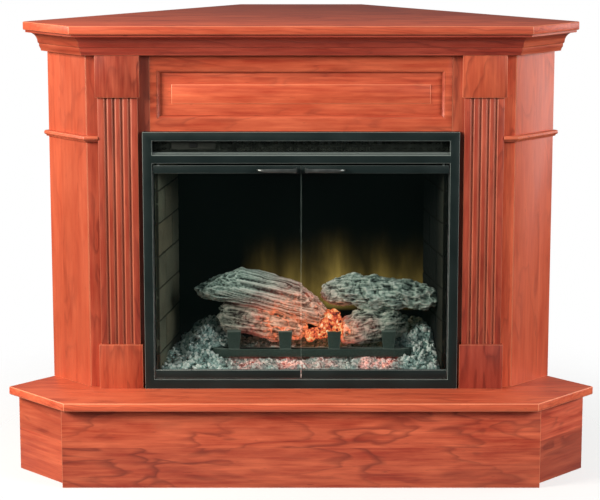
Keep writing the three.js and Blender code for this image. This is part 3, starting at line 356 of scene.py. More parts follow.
def glue_up(mesh, height):
    """Parts a board at a level joint and says for each point whether it belongs to the plank above."""
    bm = bmesh.new()
    bm.from_mesh(mesh)
    cut = bmesh.ops.bisect_plane(bm, geom=[*bm.verts, *bm.edges, *bm.faces], plane_co=(0, 0, height),
                                 plane_no=(0, 0, 1))["geom_cut"]
    bmesh.ops.split_edges(bm, edges=[g for g in cut if isinstance(g, bmesh.types.BMEdge)])
    above = [sum(f.calc_center_median().z for f in v.link_faces) > height * len(v.link_faces) for v in bm.verts]
    bm.to_mesh(mesh)
    bm.free()
    return np.array(above)


for node, (along, across, ease, seed, tone, red, figure) in cherry_boards.items():
    mesh = eased_copy(node, ease * MM)
    above = glue_up(mesh, glued[node][0]) if node in glued else None
    lay_grain(mesh, along, across, seed, tone=tone, red=red, figure=figure)
    # A tone that runs across the board; on the stiles it is painted shadow of the pilasters.
    if node in tones_across:
        over = points_of(mesh)[:, 0]
        ramped_tone = tones_across[node][0] + (over - over.min()) / np.ptp(over) * (tones_across[node][1] - tones_across[node][0])
        mesh.attributes["tone"].data.foreach_set("value", ramped_tone.astype(np.float32))
    if node in pale_edges:
        below = points_of(mesh)[:, 2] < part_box(node)[1].z - ease * MM / 2
        mesh.attributes["tone"].data.foreach_set("value", np.where(below, pale_edges[node], tone).astype(np.float32))
    if node in glued:
        mesh.attributes["tone"].data.foreach_set("value", np.where(above, *glued[node][1:]).astype(np.float32))
    if node in groove_shade_depths:
        behind = points_of(mesh)[:, 1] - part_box(node)[0].y
        mark(mesh, "groove_shade", np.clip((behind - 0.0012) / groove_shade_depths[node], 0, 1))
    place(mesh, node + "_wood", "cabinet", "cherry", [cherry], [node])
print("cherry pieces:", len(cherry_boards))

# %% [markdown]
# ## Unstained boards at the back
# What faces the room walls is never seen once the fireplace stands in its corner, so makers leave it bare. A
# pale plywood is usual there. It has the same kind of figure, only wide, soft and nearly the colour of straw,
# and no lacquer.

# %% Bare plywood
plywood, tree, surface = new_finish("bare_plywood", {"IOR": 1.45, "Specular IOR Level": 0.3, "Roughness": 0.72})
board = add(tree, "ShaderNodeAttribute", attribute_name="board").outputs["Vector"]
wide = add(tree, "ShaderNodeVectorMath", {0: board, 1: (1.6, 26.0, 26.0)}, operation="MULTIPLY").outputs[0]
figure = add(tree, "ShaderNodeTexNoise", {"Vector": wide, "Scale": 1.0, "Detail": 3.0, "Distortion": 0.6})
fine = add(tree, "ShaderNodeVectorMath", {0: board, 1: (14.0, 420.0, 420.0)}, operation="MULTIPLY").outputs[0]
fibres = add(tree, "ShaderNodeTexNoise", {"Vector": fine, "Scale": 1.0, "Detail": 4.0, "Roughness": 0.6})
lines = add(tree, "ShaderNodeMath", {0: figure.outputs["Fac"], 1: 9.0}, operation="MULTIPLY").outputs[0]
lines = add(tree, "ShaderNodeMath", {0: lines, 1: 1.0}, operation="PINGPONG").outputs[0]
both = add(tree, "ShaderNodeMath", {0: fibres.outputs["Fac"], 1: 0.9, 2: lines}, operation="MULTIPLY_ADD").outputs[0]
straw = add(tree, "ShaderNodeValToRGB", {0: both}, stops=[(0.15, linear("#B58C5E")), (0.95, linear("#D9B98C"))])
tree.links.new(straw.outputs["Color"], surface.inputs["Base Color"])
bump = add(tree, "ShaderNodeBump", {"Strength": 0.2, "Distance": 0.0004, "Height": fibres.outputs["Fac"]})
tree.links.new(bump.outputs["Normal"], surface.inputs["Normal"])
print("plywood nodes:", len(tree.nodes))

# %% Dress the bare boards
WALL = {"right": (-1.0, 1.0, 0.0), "left": (1.0, 1.0, 0.0)}
bare_boards = ["hearth_wall_board_right", "hearth_wall_board_left", "wall_rail_right", "wall_rail_left",
               "hearth_back_board", "back_rail"]
for k, node in enumerate(bare_boards):
    along = WALL.get(node.rsplit("_", 1)[1], EAST)
    mesh = eased_copy(node, 1.0 * MM)
    lay_grain(mesh, along, UP, 300 + k)
    place(mesh, node + "_ply", "cabinet", "plain_wood", [plywood], [node])
print("bare boards:", len(bare_boards))

# %% [markdown]
# ## The steel frame
# The fire's surround is folded sheet steel with a black powder coat. Powder is sprayed dry and baked, which
# leaves a fine orange-peel skin with a dull gloss. It wears first along the edges, where it is thinnest, and
# the edges also catch the light, so they are painted as pale grey-green lines: wear and a painted highlight.
# The same coat is on the door rails, so one finish serves both.

# %% Black powder coat
powder, tree, surface = new_finish("black_powder_coat", {"Metallic": 0.0, "IOR": 1.5, "Specular IOR Level": 0.28})
here = add(tree, "ShaderNodeTexCoord").outputs["Object"]
peel = add(tree, "ShaderNodeTexNoise", {"Vector": here, "Scale": 900.0, "Detail": 2.0})
haze = add(tree, "ShaderNodeTexNoise", {"Vector": here, "Scale": 14.0, "Detail": 3.0})
coat = add(tree, "ShaderNodeMix", {0: haze.outputs["Fac"], 6: linear("#0E1A1A"), 7: linear("#1E2D2D")},
           data_type="RGBA").outputs[2]
# Pale edges: wear and a painted highlight.
rubbed_and_highlit = add(tree, "ShaderNodeAttribute", attribute_name="rubbed_and_highlit").outputs["Fac"]
wear_and_highlight = add(tree, "ShaderNodeMath", {0: rubbed_and_highlit, 1: 0.72}, operation="MULTIPLY").outputs[0]
coat = add(tree, "ShaderNodeMix", {0: wear_and_highlight, 6: coat, 7: linear("#9DAAA6")}, data_type="RGBA").outputs[2]
tree.links.new(coat, surface.inputs["Base Color"])
dull = add(tree, "ShaderNodeMapRange", {0: haze.outputs["Fac"], 1: 0.3, 2: 0.7, 3: 0.42, 4: 0.55})
tree.links.new(dull.outputs[0], surface.inputs["Roughness"])
bump = add(tree, "ShaderNodeBump", {"Strength": 0.25, "Distance": 0.0003, "Height": peel.outputs["Fac"]})
tree.links.new(bump.outputs["Normal"], surface.inputs["Normal"])
print("powder coat nodes:", len(tree.nodes))

# %% Frame and door rails
place(eased_copy("trim_frame", 1.0 * MM), "trim_frame_steel", "cabinet", "black_steel", [powder], ["trim_frame"])
for side in ("left", "right"):
    for rail in ("door_top_rail", "door_bottom_rail"):
        node = f"{rail}_{side}"
        place(eased_copy(node, 0.9 * MM), node + "_steel", f"{side}_door", "black_steel", [powder], [node])

# %% [markdown]
# ## The mesh in the air slot
# Warm air leaves through a fine diamond mesh, made by slitting a sheet and pulling it open. The solid behind it
# has only a few plain slots. Geometry Nodes set one small wire diamond on every point of a grid, with each
# second row moved by half a diamond. Real diamonds are about 4 mm wide, and they are drawn 7 mm wide, because
# finer ones would melt into grey at this distance.


# %% A node tree with named inputs, and how its result is taken
def new_tree(name, sizes):
    """A Geometry Nodes tree with one input for each named size, and the node that gives them."""
    group = bpy.data.node_groups.new(name, "GeometryNodeTree")
    group.interface.new_socket("Geometry", in_out="INPUT", socket_type="NodeSocketGeometry")
    for label, value in sizes.items():
        kind = "NodeSocketInt" if isinstance(value, int) else "NodeSocketFloat"
        group.interface.new_socket(label, in_out="INPUT", socket_type=kind).default_value = value
    group.interface.new_socket("Geometry", in_out="OUTPUT", socket_type="NodeSocketGeometry")
    return group, group.nodes.new("NodeGroupInput")


def close_tree(group, geometry, finish):
    """Ends a tree: instances made real, one finish, and the output."""
    real = add(group, "GeometryNodeRealizeInstances", {"Geometry": geometry}).outputs[0]
    coated = add(group, "GeometryNodeSetMaterial", {"Geometry": real, "Material": finish}).outputs[0]
    add(group, "NodeGroupOutput", {0: coated})


def grown(group, mesh, values):
    """The plain mesh that a tree makes from a mesh, with the tree's inputs set by their identifiers."""
    host = bpy.data.objects.new("host", mesh)
    scene.collection.objects.link(host)
    modifier = host.modifiers.new("grow", "NODES")
    modifier.node_group = group
    for item in group.interface.items_tree:
        if item.item_type == "SOCKET" and item.in_out == "INPUT" and item.name in values:
            modifier[item.identifier] = values[item.name]
    depsgraph = bpy.context.evaluated_depsgraph_get()
    result = bpy.data.meshes.new_from_object(host.evaluated_get(depsgraph), preserve_all_data_layers=True,
                                             depsgraph=depsgraph)
    host.modifiers.clear()
    bpy.data.objects.remove(host)
    return result


# %% Diamond mesh for the slot
group, given = new_tree("diamond_mesh", {"Width": 0.67, "Height": 0.03, "Diamond": 0.007, "Tall": 0.0045,
                                         "Wire": 0.00055})
width, height, wide, tall, wire = (given.outputs[k] for k in ("Width", "Height", "Diamond", "Tall", "Wire"))
columns = add(group, "ShaderNodeMath", {0: width, 1: wide}, operation="DIVIDE").outputs[0]
half_tall = add(group, "ShaderNodeMath", {0: tall, 1: 0.5}, operation="MULTIPLY").outputs[0]
rows = add(group, "ShaderNodeMath", {0: height, 1: half_tall}, operation="DIVIDE").outputs[0]
field = add(group, "GeometryNodeMeshGrid", {"Size X": width, "Size Y": height, "Vertices X": columns,
            "Vertices Y": rows}).outputs["Mesh"]
at = add(group, "ShaderNodeSeparateXYZ", {0: add(group, "GeometryNodeInputPosition").outputs[0]})
row = add(group, "ShaderNodeMath", {0: at.outputs["Y"], 1: half_tall}, operation="DIVIDE").outputs[0]
row = add(group, "ShaderNodeMath", {0: row}, operation="ROUND").outputs[0]
odd = add(group, "ShaderNodeMath", {0: row, 1: 2.0}, operation="FLOORED_MODULO").outputs[0]
move = add(group, "ShaderNodeMath", {0: odd, 1: wide}, operation="MULTIPLY").outputs[0]
move = add(group, "ShaderNodeMath", {0: move, 1: 0.5}, operation="MULTIPLY").outputs[0]
move = add(group, "ShaderNodeCombineXYZ", {0: move}).outputs[0]
field = add(group, "GeometryNodeSetPosition", {"Geometry": field, "Offset": move}).outputs[0]
stretch = add(group, "ShaderNodeCombineXYZ", {0: wide, 1: tall, 2: 1.0}).outputs[0]
diamond = add(group, "GeometryNodeCurvePrimitiveCircle", {"Resolution": 4, "Radius": 0.5})
diamond = add(group, "GeometryNodeTransform", {"Geometry": diamond.outputs[0], "Scale": stretch})
strand = add(group, "GeometryNodeCurvePrimitiveCircle", {"Resolution": 4, "Radius": wire})
link = add(group, "GeometryNodeCurveToMesh", {"Curve": diamond.outputs[0], "Profile Curve": strand.outputs[0]})
mesh_of_links = add(group, "GeometryNodeInstanceOnPoints", {"Points": field, "Instance": link.outputs[0]})
steel_wire, tree, surface = new_finish("galvanised_wire", {"Metallic": 1.0, "Roughness": 0.42})
here = add(tree, "ShaderNodeTexCoord").outputs["Object"]
grey = add(tree, "ShaderNodeTexNoise", {"Vector": here, "Scale": 60.0, "Detail": 2.0})
grey = add(tree, "ShaderNodeMix", {0: grey.outputs["Fac"], 6: linear("#1A211F"), 7: linear("#5A635C")},
           data_type="RGBA")
tree.links.new(grey.outputs[2], surface.inputs["Base Color"])
close_tree(group, mesh_of_links.outputs[0], steel_wire)
print("diamond mesh nodes:", len(group.nodes))

# %% Cut the mesh to the slot
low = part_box("grille_sheet")[0]
frame_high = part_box("trim_frame")[1]
slot_half = frame_high.x - 21 * MM                 # the slot lies between the frame's side bars
slot_low, slot_high = frame_high.z - 47 * MM, frame_high.z - 20 * MM
links = grown(group, bpy.data.meshes.new("seed"), {"Width": 2 * slot_half - 5 * MM, "Height": 31 * MM})
links.transform(Matrix.Translation((0, low.y - 0.9 * MM, (slot_low + slot_high) / 2)) @ Matrix.Rotation(
    math.pi / 2, 4, "X"))
place(links, "slot_mesh", "cabinet", "bright_steel", [steel_wire])
# The slotted sheet behind is matt and nearly black: painted shade for the inside of the slot, so that it stays
# darker than the mesh in front of it.
dark_sheet, tree, surface = new_finish("black_sheet_and_slot_shade", {"Roughness": 0.85, "Specular IOR Level": 0.1})
here = add(tree, "ShaderNodeTexCoord").outputs["Object"]
slot_shade = add(tree, "ShaderNodeTexNoise", {"Vector": here, "Scale": 30.0, "Detail": 3.0})
slot_shade = add(tree, "ShaderNodeMix", {0: slot_shade.outputs["Fac"], 6: linear("#050707"), 7: linear("#111514")},
           data_type="RGBA")
tree.links.new(slot_shade.outputs[2], surface.inputs["Base Color"])
place(eased_copy("grille_sheet", 0.2 * MM, 1), "grille_sheet_black", "cabinet", "black_steel", [dark_sheet],
      ["grille_sheet"])
print("mesh links:", len(links.polygons), "faces")

# %% [markdown]
# ## Control plate and rocker
# At the slot's left end sits a plain plate with the heat rocker. The plate is stamped steel in a baked grey-brown
# enamel, brushed lengthwise before it was coated. The rocker is moulded black plastic, a little glossier.

# %% Enamelled plate and plastic rocker
enamel, tree, surface = new_finish("brown_grey_enamel", {"Roughness": 0.5, "IOR": 1.5, "Specular IOR Level": 0.3})
here = add(tree, "ShaderNodeTexCoord").outputs["Object"]
drawn = add(tree, "ShaderNodeVectorMath", {0: here, 1: (20.0, 400.0, 700.0)}, operation="MULTIPLY").outputs[0]
brush = add(tree, "ShaderNodeTexNoise", {"Vector": drawn, "Scale": 1.0, "Detail": 3.0}).outputs["Fac"]
shade = add(tree, "ShaderNodeMix", {0: brush, 6: linear("#1B1F1D"), 7: linear("#343833")}, data_type="RGBA")
tree.links.new(shade.outputs[2], surface.inputs["Base Color"])
bump = add(tree, "ShaderNodeBump", {"Strength": 0.15, "Distance": 0.0002, "Height": brush})
tree.links.new(bump.outputs["Normal"], surface.inputs["Normal"])
place(eased_copy("control_plate", 0.5 * MM), "control_plate_enamel", "cabinet", "grey_plate", [enamel],
      ["control_plate"])

abs_plastic, tree, surface = new_finish("moulded_black_abs", {"IOR": 1.54, "Roughness": 0.38})
here = add(tree, "ShaderNodeTexCoord").outputs["Object"]
grain = add(tree, "ShaderNodeTexVoronoi", {"Vector": here, "Scale": 1400.0})
tone = add(tree, "ShaderNodeMix", {0: grain.outputs["Distance"], 6: linear("#101212"), 7: linear("#1D2020")},
           data_type="RGBA")
tree.links.new(tone.outputs[2], surface.inputs["Base Color"])
bump = add(tree, "ShaderNodeBump", {"Strength": 0.1, "Distance": 0.0002, "Height": grain.outputs["Distance"]})
tree.links.new(bump.outputs["Normal"], surface.inputs["Normal"])
place(eased_copy("heat_rocker", 0.4 * MM), "heat_rocker_cap", "rocker", "black_plastic", [abs_plastic],
      ["heat_rocker"])
place(eased_copy("cord_gland", 0.6 * MM), "cord_gland_cap", "cabinet", "black_plastic", [abs_plastic],
      ["cord_gland"])

# %% [markdown]
# ## Door glass
# The doors are toughened float glass. Seen face on it only darkens the fire a little, so the pane is a thin dark
# film that is mostly clear, which also lets the lamps reach the logs. Seen on edge the same glass is bright,
# because light runs inside the sheet and leaves at its ground edges. Those edges get a finish of their own:
# pale, with a faint painted glow standing for that light.

# %% Panes with ground edges
pane_glass, tree, surface = new_finish("smoked_float_glass", {"Base Color": linear("#04100E"), "Roughness": 0.03,
                                                              "IOR": 1.52})
here = add(tree, "ShaderNodeTexCoord").outputs["Object"]
smear = add(tree, "ShaderNodeTexNoise", {"Vector": here, "Scale": 9.0, "Detail": 3.0, "Distortion": 1.0})
film = add(tree, "ShaderNodeMapRange", {0: smear.outputs["Fac"], 1: 0.3, 2: 0.8, 3: 0.16, 4: 0.24})
tree.links.new(film.outputs[0], surface.inputs["Alpha"])
glowing_edge_glass, tree, surface = new_finish("ground_glass_edge_painted_glow", {"Roughness": 0.3, "IOR": 1.52})
here = add(tree, "ShaderNodeTexCoord").outputs["Object"]
chips = add(tree, "ShaderNodeTexNoise", {"Vector": here, "Scale": 220.0, "Detail": 2.0})
pale = add(tree, "ShaderNodeMix", {0: chips.outputs["Fac"], 6: linear("#4E615D"), 7: linear("#9DB0AA")},
           data_type="RGBA")
tree.links.new(pale.outputs[2], surface.inputs["Base Color"])
# A faint painted glow on the edges stands for the light that leaves the sheet there.
tree.links.new(pale.outputs[2], surface.inputs["Emission Color"])
surface.inputs["Emission Strength"].default_value = 0.06
for side in ("left", "right"):
    node = f"door_glass_{side}"
    mesh = eased_copy(node, 0.7 * MM)
    place(mesh, node + "_pane", f"{side}_door", "glass", [pane_glass, glowing_edge_glass], [node])
    for face in mesh.polygons:
        face.material_index = 0 if abs(face.normal.y) > 0.9 else 1

# %% [markdown]
# ## Door handles
# Each handle is a flat strap of plated steel that leaves the rail, runs beside it and returns. Its outer end
# tapers and is darker. A loft through a few oval sections gives the taper, the soft bends and the small step at
# the inner end in one skin, and black chrome gives it the single bright line along the top.

# %% Lofted handle straps
black_chrome, tree, surface = new_finish("satin_black_chrome", {"Metallic": 1.0})
here = add(tree, "ShaderNodeTexCoord").outputs["Object"]
wipe = add(tree, "ShaderNodeTexNoise", {"Vector": here, "Scale": 45.0, "Detail": 3.0})
tint = add(tree, "ShaderNodeMix", {0: wipe.outputs["Fac"], 6: linear("#5E6665"), 7: linear("#939A98")},
           data_type="RGBA")
tree.links.new(tint.outputs[2], surface.inputs["Base Color"])
polish = add(tree, "ShaderNodeMapRange", {0: wipe.outputs["Fac"], 1: 0.3, 2: 0.7, 3: 0.34, 4: 0.5})
tree.links.new(polish.outputs[0], surface.inputs["Roughness"])


def strap(side):
    """A handle strap lofted from its inner foot to its tapered outer foot."""
    low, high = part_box(f"door_handle_{side}")
    sign = 1.0 if side == "right" else -1.0
    inner, outer = (low.x, high.x) if side == "right" else (high.x, low.x)
    span = abs(outer - inner)
    middle, front, foot = (low.z + high.z) / 2, low.y, high.y
    half_thick = 1.7 * MM
    # share of the length, depth share from the front, half height share, half thickness in mm
    path = [(0.015, 1.0, 0.95, 1.4), (0.015, 0.45, 0.95, 1.5), (0.03, 0.12, 0.95, 1.7), (0.075, 0.10, 0.92, 1.7),
            (0.10, 0.10, 0.72, 1.7), (0.30, 0.10, 0.72, 1.7), (0.55, 0.10, 0.72, 1.7), (0.78, 0.10, 0.68, 1.7),
            (0.86, 0.13, 0.55, 1.6), (0.94, 0.30, 0.42, 1.5), (0.975, 0.60, 0.36, 1.4), (0.985, 1.0, 0.34, 1.4)]
    rings = 14
    bm = bmesh.new()
    loops = []
    for k, (u, depth, tall, thick) in enumerate(path):
        before, after = path[max(k - 1, 0)], path[min(k + 1, len(path) - 1)]
        run = Vector(((after[0] - before[0]) * span * sign, (after[1] - before[1]) * (foot - front), 0.0))
        run.normalize()
        out = Vector((run.y, -run.x, 0.0)) * sign
        back = front + half_thick + depth * (foot - front - half_thick)
        centre = Vector((inner + sign * u * span, back, middle))
        loop = []
        for i in range(rings):
            turn = 2 * math.pi * i / rings
            c, s = math.cos(turn), math.sin(turn)
            flat = math.copysign(abs(c) ** 0.6, c) * thick * MM
            rise = math.copysign(abs(s) ** 0.6, s) * tall * (high.z - low.z) / 2
            loop.append(bm.verts.new(centre + out * flat + Vector((0, 0, rise))))
        loops.append(loop)
    for one, two in zip(loops, loops[1:]):
        for i in range(rings):
            bm.faces.new((one[i], one[(i + 1) % rings], two[(i + 1) % rings], two[i]))
    bm.faces.new(loops[0])
    bm.faces.new(loops[-1])
    bmesh.ops.recalc_face_normals(bm, faces=bm.faces)
    mesh = bpy.data.meshes.new(f"door_handle_{side}_strap")
    bm.to_mesh(mesh)
    bm.free()
    mesh.shade_smooth()
    mesh.set_sharp_from_angle(angle=math.radians(50))
    return mesh


for side in ("left", "right"):
    place(strap(side), f"door_handle_{side}_strap", f"{side}_door", "bright_steel", [black_chrome],
          [f"door_handle_{side}"])

# %% [markdown]
# ## Brick walls of the firebox
# The side walls of such a firebox are moulded boards that imitate firebrick: grey-brown blocks with a rough
# face and dark, sunken joints. One and a half bricks fit from front to back, and each course swaps their order.
# A tree lays the courses from the wall's length, a brick's length, the joint and the number of courses, roughens
# the faces, and stores a random number on each brick for its colour. Each wall is laid flat and then turned
# onto its slanted place.

# %% The tree that lays the courses
LEAST_COURSE = 0.068  # a course, brick and joint, is at least 68 mm high
BRICK_SIZES = {"Length": 0.197, "Stretcher": 0.13, "Course": LEAST_COURSE, "Joint": 0.005, "Courses": 8, "Seed": 3}
group, given = new_tree("brick_courses", BRICK_SIZES)
length, stretcher, course, joint = (given.outputs[k] for k in ("Length", "Stretcher", "Course", "Joint"))
count = add(group, "ShaderNodeMath", {0: given.outputs["Courses"], 1: 2.0}, operation="MULTIPLY").outputs[0]
places = add(group, "GeometryNodeMeshLine", {"Count": count}).outputs[0]
order = add(group, "GeometryNodeInputIndex").outputs[0]
pair = add(group, "ShaderNodeMath", {0: order, 1: 2.0}, operation="DIVIDE").outputs[0]
row = add(group, "ShaderNodeMath", {0: pair}, operation="FLOOR").outputs[0]
second = add(group, "ShaderNodeMath", {0: order, 1: 2.0}, operation="MODULO").outputs[0]
odd = add(group, "ShaderNodeMath", {0: row, 1: 2.0}, operation="MODULO").outputs[0]
short = add(group, "ShaderNodeMath", {0: second, 1: odd}, operation="SUBTRACT").outputs[0]
short = add(group, "ShaderNodeMath", {0: short}, operation="ABSOLUTE").outputs[0]
rest = add(group, "ShaderNodeMath", {0: length, 1: stretcher}, operation="SUBTRACT").outputs[0]
rest = add(group, "ShaderNodeMath", {0: rest, 1: joint}, operation="SUBTRACT").outputs[0]
size = add(group, "ShaderNodeMix", {"Factor": short, 2: stretcher, 3: rest}).outputs[0]
start = add(group, "ShaderNodeMath", {0: length, 1: size}, operation="SUBTRACT").outputs[0]
start = add(group, "ShaderNodeMath", {0: start, 1: second}, operation="MULTIPLY").outputs[0]
middle = add(group, "ShaderNodeMath", {0: size, 1: 0.5, 2: start}, operation="MULTIPLY_ADD").outputs[0]
up = add(group, "ShaderNodeMath", {0: row, 1: 0.5}, operation="ADD").outputs[0]
up = add(group, "ShaderNodeMath", {0: up, 1: course}, operation="MULTIPLY").outputs[0]
# A brick is 9 mm thick with its middle 5 mm behind the wall's face. Its roughness takes off up to 3 mm.
spot = add(group, "ShaderNodeCombineXYZ", {0: middle, 1: up, 2: -0.005}).outputs[0]
laid = add(group, "GeometryNodeSetPosition", {"Geometry": places, "Position": spot}).outputs[0]
tall = add(group, "ShaderNodeMath", {0: course, 1: joint}, operation="SUBTRACT").outputs[0]
brick = add(group, "GeometryNodeMeshCube", {"Size": (1, 1, 1), "Vertices X": 16, "Vertices Y": 9,
            "Vertices Z": 2}).outputs["Mesh"]
size3 = add(group, "ShaderNodeCombineXYZ", {0: size, 1: tall, 2: 0.009}).outputs[0]
bricks = add(group, "GeometryNodeInstanceOnPoints", {"Points": laid, "Instance": brick, "Scale": size3}).outputs[0]
chance = add(group, "FunctionNodeRandomValue", {"Seed": given.outputs["Seed"]}, data_type="FLOAT")
bricks = add(group, "GeometryNodeStoreNamedAttribute", {"Geometry": bricks, "Name": "shade",
             "Value": chance.outputs[1]}, data_type="FLOAT", domain="INSTANCE").outputs[0]
bricks = add(group, "GeometryNodeRealizeInstances", {"Geometry": bricks}).outputs[0]
rough = add(group, "ShaderNodeTexNoise", {"Scale": 90.0, "Detail": 3.0}).outputs["Fac"]
rough = add(group, "ShaderNodeMath", {0: rough, 1: -0.0032}, operation="MULTIPLY").outputs[0]
edge = add(group, "ShaderNodeTexNoise", {"Scale": 55.0, "Detail": 2.0}).outputs["Color"]
edge = add(group, "ShaderNodeVectorMath", {0: edge, 1: (0.5, 0.5, 0.5)}, operation="SUBTRACT").outputs[0]
edge = add(group, "ShaderNodeVectorMath", {0: edge, 1: (0.005, 0.005, 0.0)}, operation="MULTIPLY").outputs[0]
inward = add(group, "ShaderNodeCombineXYZ", {2: rough}).outputs[0]
shove = add(group, "ShaderNodeVectorMath", {0: inward, 1: edge}, operation="ADD").outputs[0]
bricks = add(group, "GeometryNodeSetPosition", {"Geometry": bricks, "Offset": shove}).outputs[0]
print("brick tree nodes:", len(group.nodes))

# %% Firebrick and mortar
firebrick, tree, surface = new_finish("moulded_firebrick", {"Roughness": 0.9, "Specular IOR Level": 0.15})
here = add(tree, "ShaderNodeTexCoord").outputs["Object"]
shade = add(tree, "ShaderNodeAttribute", attribute_name="shade").outputs["Fac"]
grit = add(tree, "ShaderNodeTexNoise", {"Vector": here, "Scale": 240.0, "Detail": 3.0}).outputs["Fac"]
sooty = add(tree, "ShaderNodeTexNoise", {"Vector": here, "Scale": 11.0, "Detail": 3.0}).outputs["Fac"]
clay = add(tree, "ShaderNodeValToRGB", {0: shade}, stops=[(0.0, linear("#ADAC90")), (0.5, linear("#98A08A")),
           (1.0, linear("#BDB492"))]).outputs["Color"]
gritty = add(tree, "ShaderNodeVectorMath", {0: clay, 1: (0.45, 0.5, 0.5)}, operation="MULTIPLY").outputs[0]
clay = add(tree, "ShaderNodeMix", {0: grit, 6: gritty, 7: clay}, data_type="RGBA").outputs[2]
sooty = add(tree, "ShaderNodeMapRange", {0: sooty, 1: 0.35, 2: 0.75, 3: 0.0, 4: 0.5}).outputs[0]
clay = add(tree, "ShaderNodeMix", {0: sooty, 6: clay, 7: linear("#3A403A")}, data_type="RGBA").outputs[2]
# Painted shade, darker towards the back of the firebox and nearly black on the right wall.
wall_shade = add(tree, "ShaderNodeAttribute", attribute_name="wall_shade").outputs["Fac"]
clay = add(tree, "ShaderNodeMix", {0: wall_shade, 6: clay, 7: linear("#141B1A")}, data_type="RGBA").outputs[2]
tree.links.new(clay, surface.inputs["Base Color"])
bump = add(tree, "ShaderNodeBump", {"Strength": 0.5, "Distance": 0.001, "Height": grit})
tree.links.new(bump.outputs["Normal"], surface.inputs["Normal"])
close_tree(group, bricks, firebrick)

# Mortar is dull, sandy and darker than the bricks, so that the joints read as grooves.
mortar, tree, surface = new_finish("dark_mortar", {"Roughness": 0.95, "Specular IOR Level": 0.1})
here = add(tree, "ShaderNodeTexCoord").outputs["Object"]
sand = add(tree, "ShaderNodeTexNoise", {"Vector": here, "Scale": 500.0, "Detail": 2.0}).outputs["Fac"]
sandy = add(tree, "ShaderNodeMix", {0: sand, 6: linear("#3B4036"), 7: linear("#5A5E50")}, data_type="RGBA").outputs[2]
# The same painted shade on the mortar.
wall_shade = add(tree, "ShaderNodeAttribute", attribute_name="wall_shade").outputs["Fac"]
sandy = add(tree, "ShaderNodeMix", {0: wall_shade, 6: sandy, 7: linear("#0C100F")}, data_type="RGBA").outputs[2]
tree.links.new(sandy, surface.inputs["Base Color"])
print("firebrick nodes:", len(firebrick.node_tree.nodes), "mortar nodes:", len(tree.nodes))

# %% Lay both walls
FRONT_X, BACK_X = 0.322, 0.289  # the walls' inner faces run from the first, at the front, to the second
BOARD = 0.005                   # thickness of the mortar-coloured board that carries the bricks
for side, sign in (("right", 1.0), ("left", -1.0)):
    node = f"brick_liner_{side}"
    low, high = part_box(node)
    front = Vector((sign * FRONT_X, low.y, low.z))
    back = Vector((sign * BACK_X, high.y, low.z))
    run = (back - front).normalized()
    inward = Vector((-sign * run.y, sign * run.x, 0.0)).normalized()
    tall = high.z - low.z
    courses = int(tall // LEAST_COURSE)
    seed_mesh = bpy.data.meshes.new("seed")
    wall = grown(group, seed_mesh, {"Length": (back - front).length - 0.002, "Course": tall / courses,
                                    "Courses": courses, "Seed": 5 if side == "left" else 9})
    turn = Matrix((run, Vector((0, 0, 1)), inward)).transposed().to_4x4()
    wall.transform(Matrix.Translation(front + run * 0.001 - inward * 0.0004) @ turn)
    bm = bmesh.new()
    bm.from_mesh(wall)
    first = len(bm.faces)
    slab = bmesh.ops.create_cube(bm, size=1.0)["verts"]
    bmesh.ops.scale(bm, vec=((back - front).length - 0.001, tall, BOARD), verts=slab)
    bmesh.ops.translate(bm, vec=((back - front).length / 2, tall / 2, -0.0065), verts=slab)
    bmesh.ops.transform(bm, matrix=Matrix.Translation(front) @ turn, verts=slab)
    bm.faces.ensure_lookup_table()
    for k, face in enumerate(bm.faces):
        face.material_index = int(k >= first)
    bmesh.ops.recalc_face_normals(bm, faces=bm.faces)
    bm.to_mesh(wall)
    bm.free()
    # Painted shade: both walls darken towards the back, and the right one is painted nearly black.
    deep_in = (points_of(wall)[:, 1] - low.y) / (high.y - low.y)
    mark(wall, "wall_shade", np.clip((0.15 if side == "left" else 0.86) + 0.5 * deep_in, 0, 1))
    of_mortar = [p.material_index for p in wall.polygons]
    place(wall, node + "_bricks", "cabinet", "brick", [firebrick, mortar], [node])
    wall.polygons.foreach_set("material_index", of_mortar)
    print(node, "faces:", len(wall.polygons), "courses:", courses)

# %% [markdown]
# ## The flame screen
# Behind the logs stands a smoked plastic screen. Light from a lamp is thrown up onto its back by the turning
# rotor, so the front shows soft tongues of yellow that have no surface of their own. The tongues are drawn in
# the screen's own material from its own left-right and height coordinates: a table gives how strong they are at
# each place, and an upright noise sets how tall each one stands and splits them.

# %% Smoked screen with its flames
smoked, tree, surface = new_finish("smoked_flame_screen", {"Base Color": linear("#0A110F"), "Roughness": 0.4,
                                                           "Specular IOR Level": 0.15})
here = add(tree, "ShaderNodeTexCoord").outputs["Object"]
at = add(tree, "ShaderNodeSeparateXYZ", {0: here})
waver = add(tree, "ShaderNodeTexNoise", {"Vector": here, "Scale": 11.0, "Detail": 2.0}).outputs["Fac"]
waver = add(tree, "ShaderNodeMath", {0: waver, 1: -0.5}, operation="ADD").outputs[0]
x = add(tree, "ShaderNodeMath", {0: waver, 1: 0.06, 2: at.outputs["X"]}, operation="MULTIPLY_ADD").outputs[0]
LEFT_END, RIGHT_END = -150, 340  # the flames stand between these places across the screen, in mm
share = add(tree, "ShaderNodeMapRange", {0: x, 1: LEFT_END * MM, 2: RIGHT_END * MM}).outputs[0]
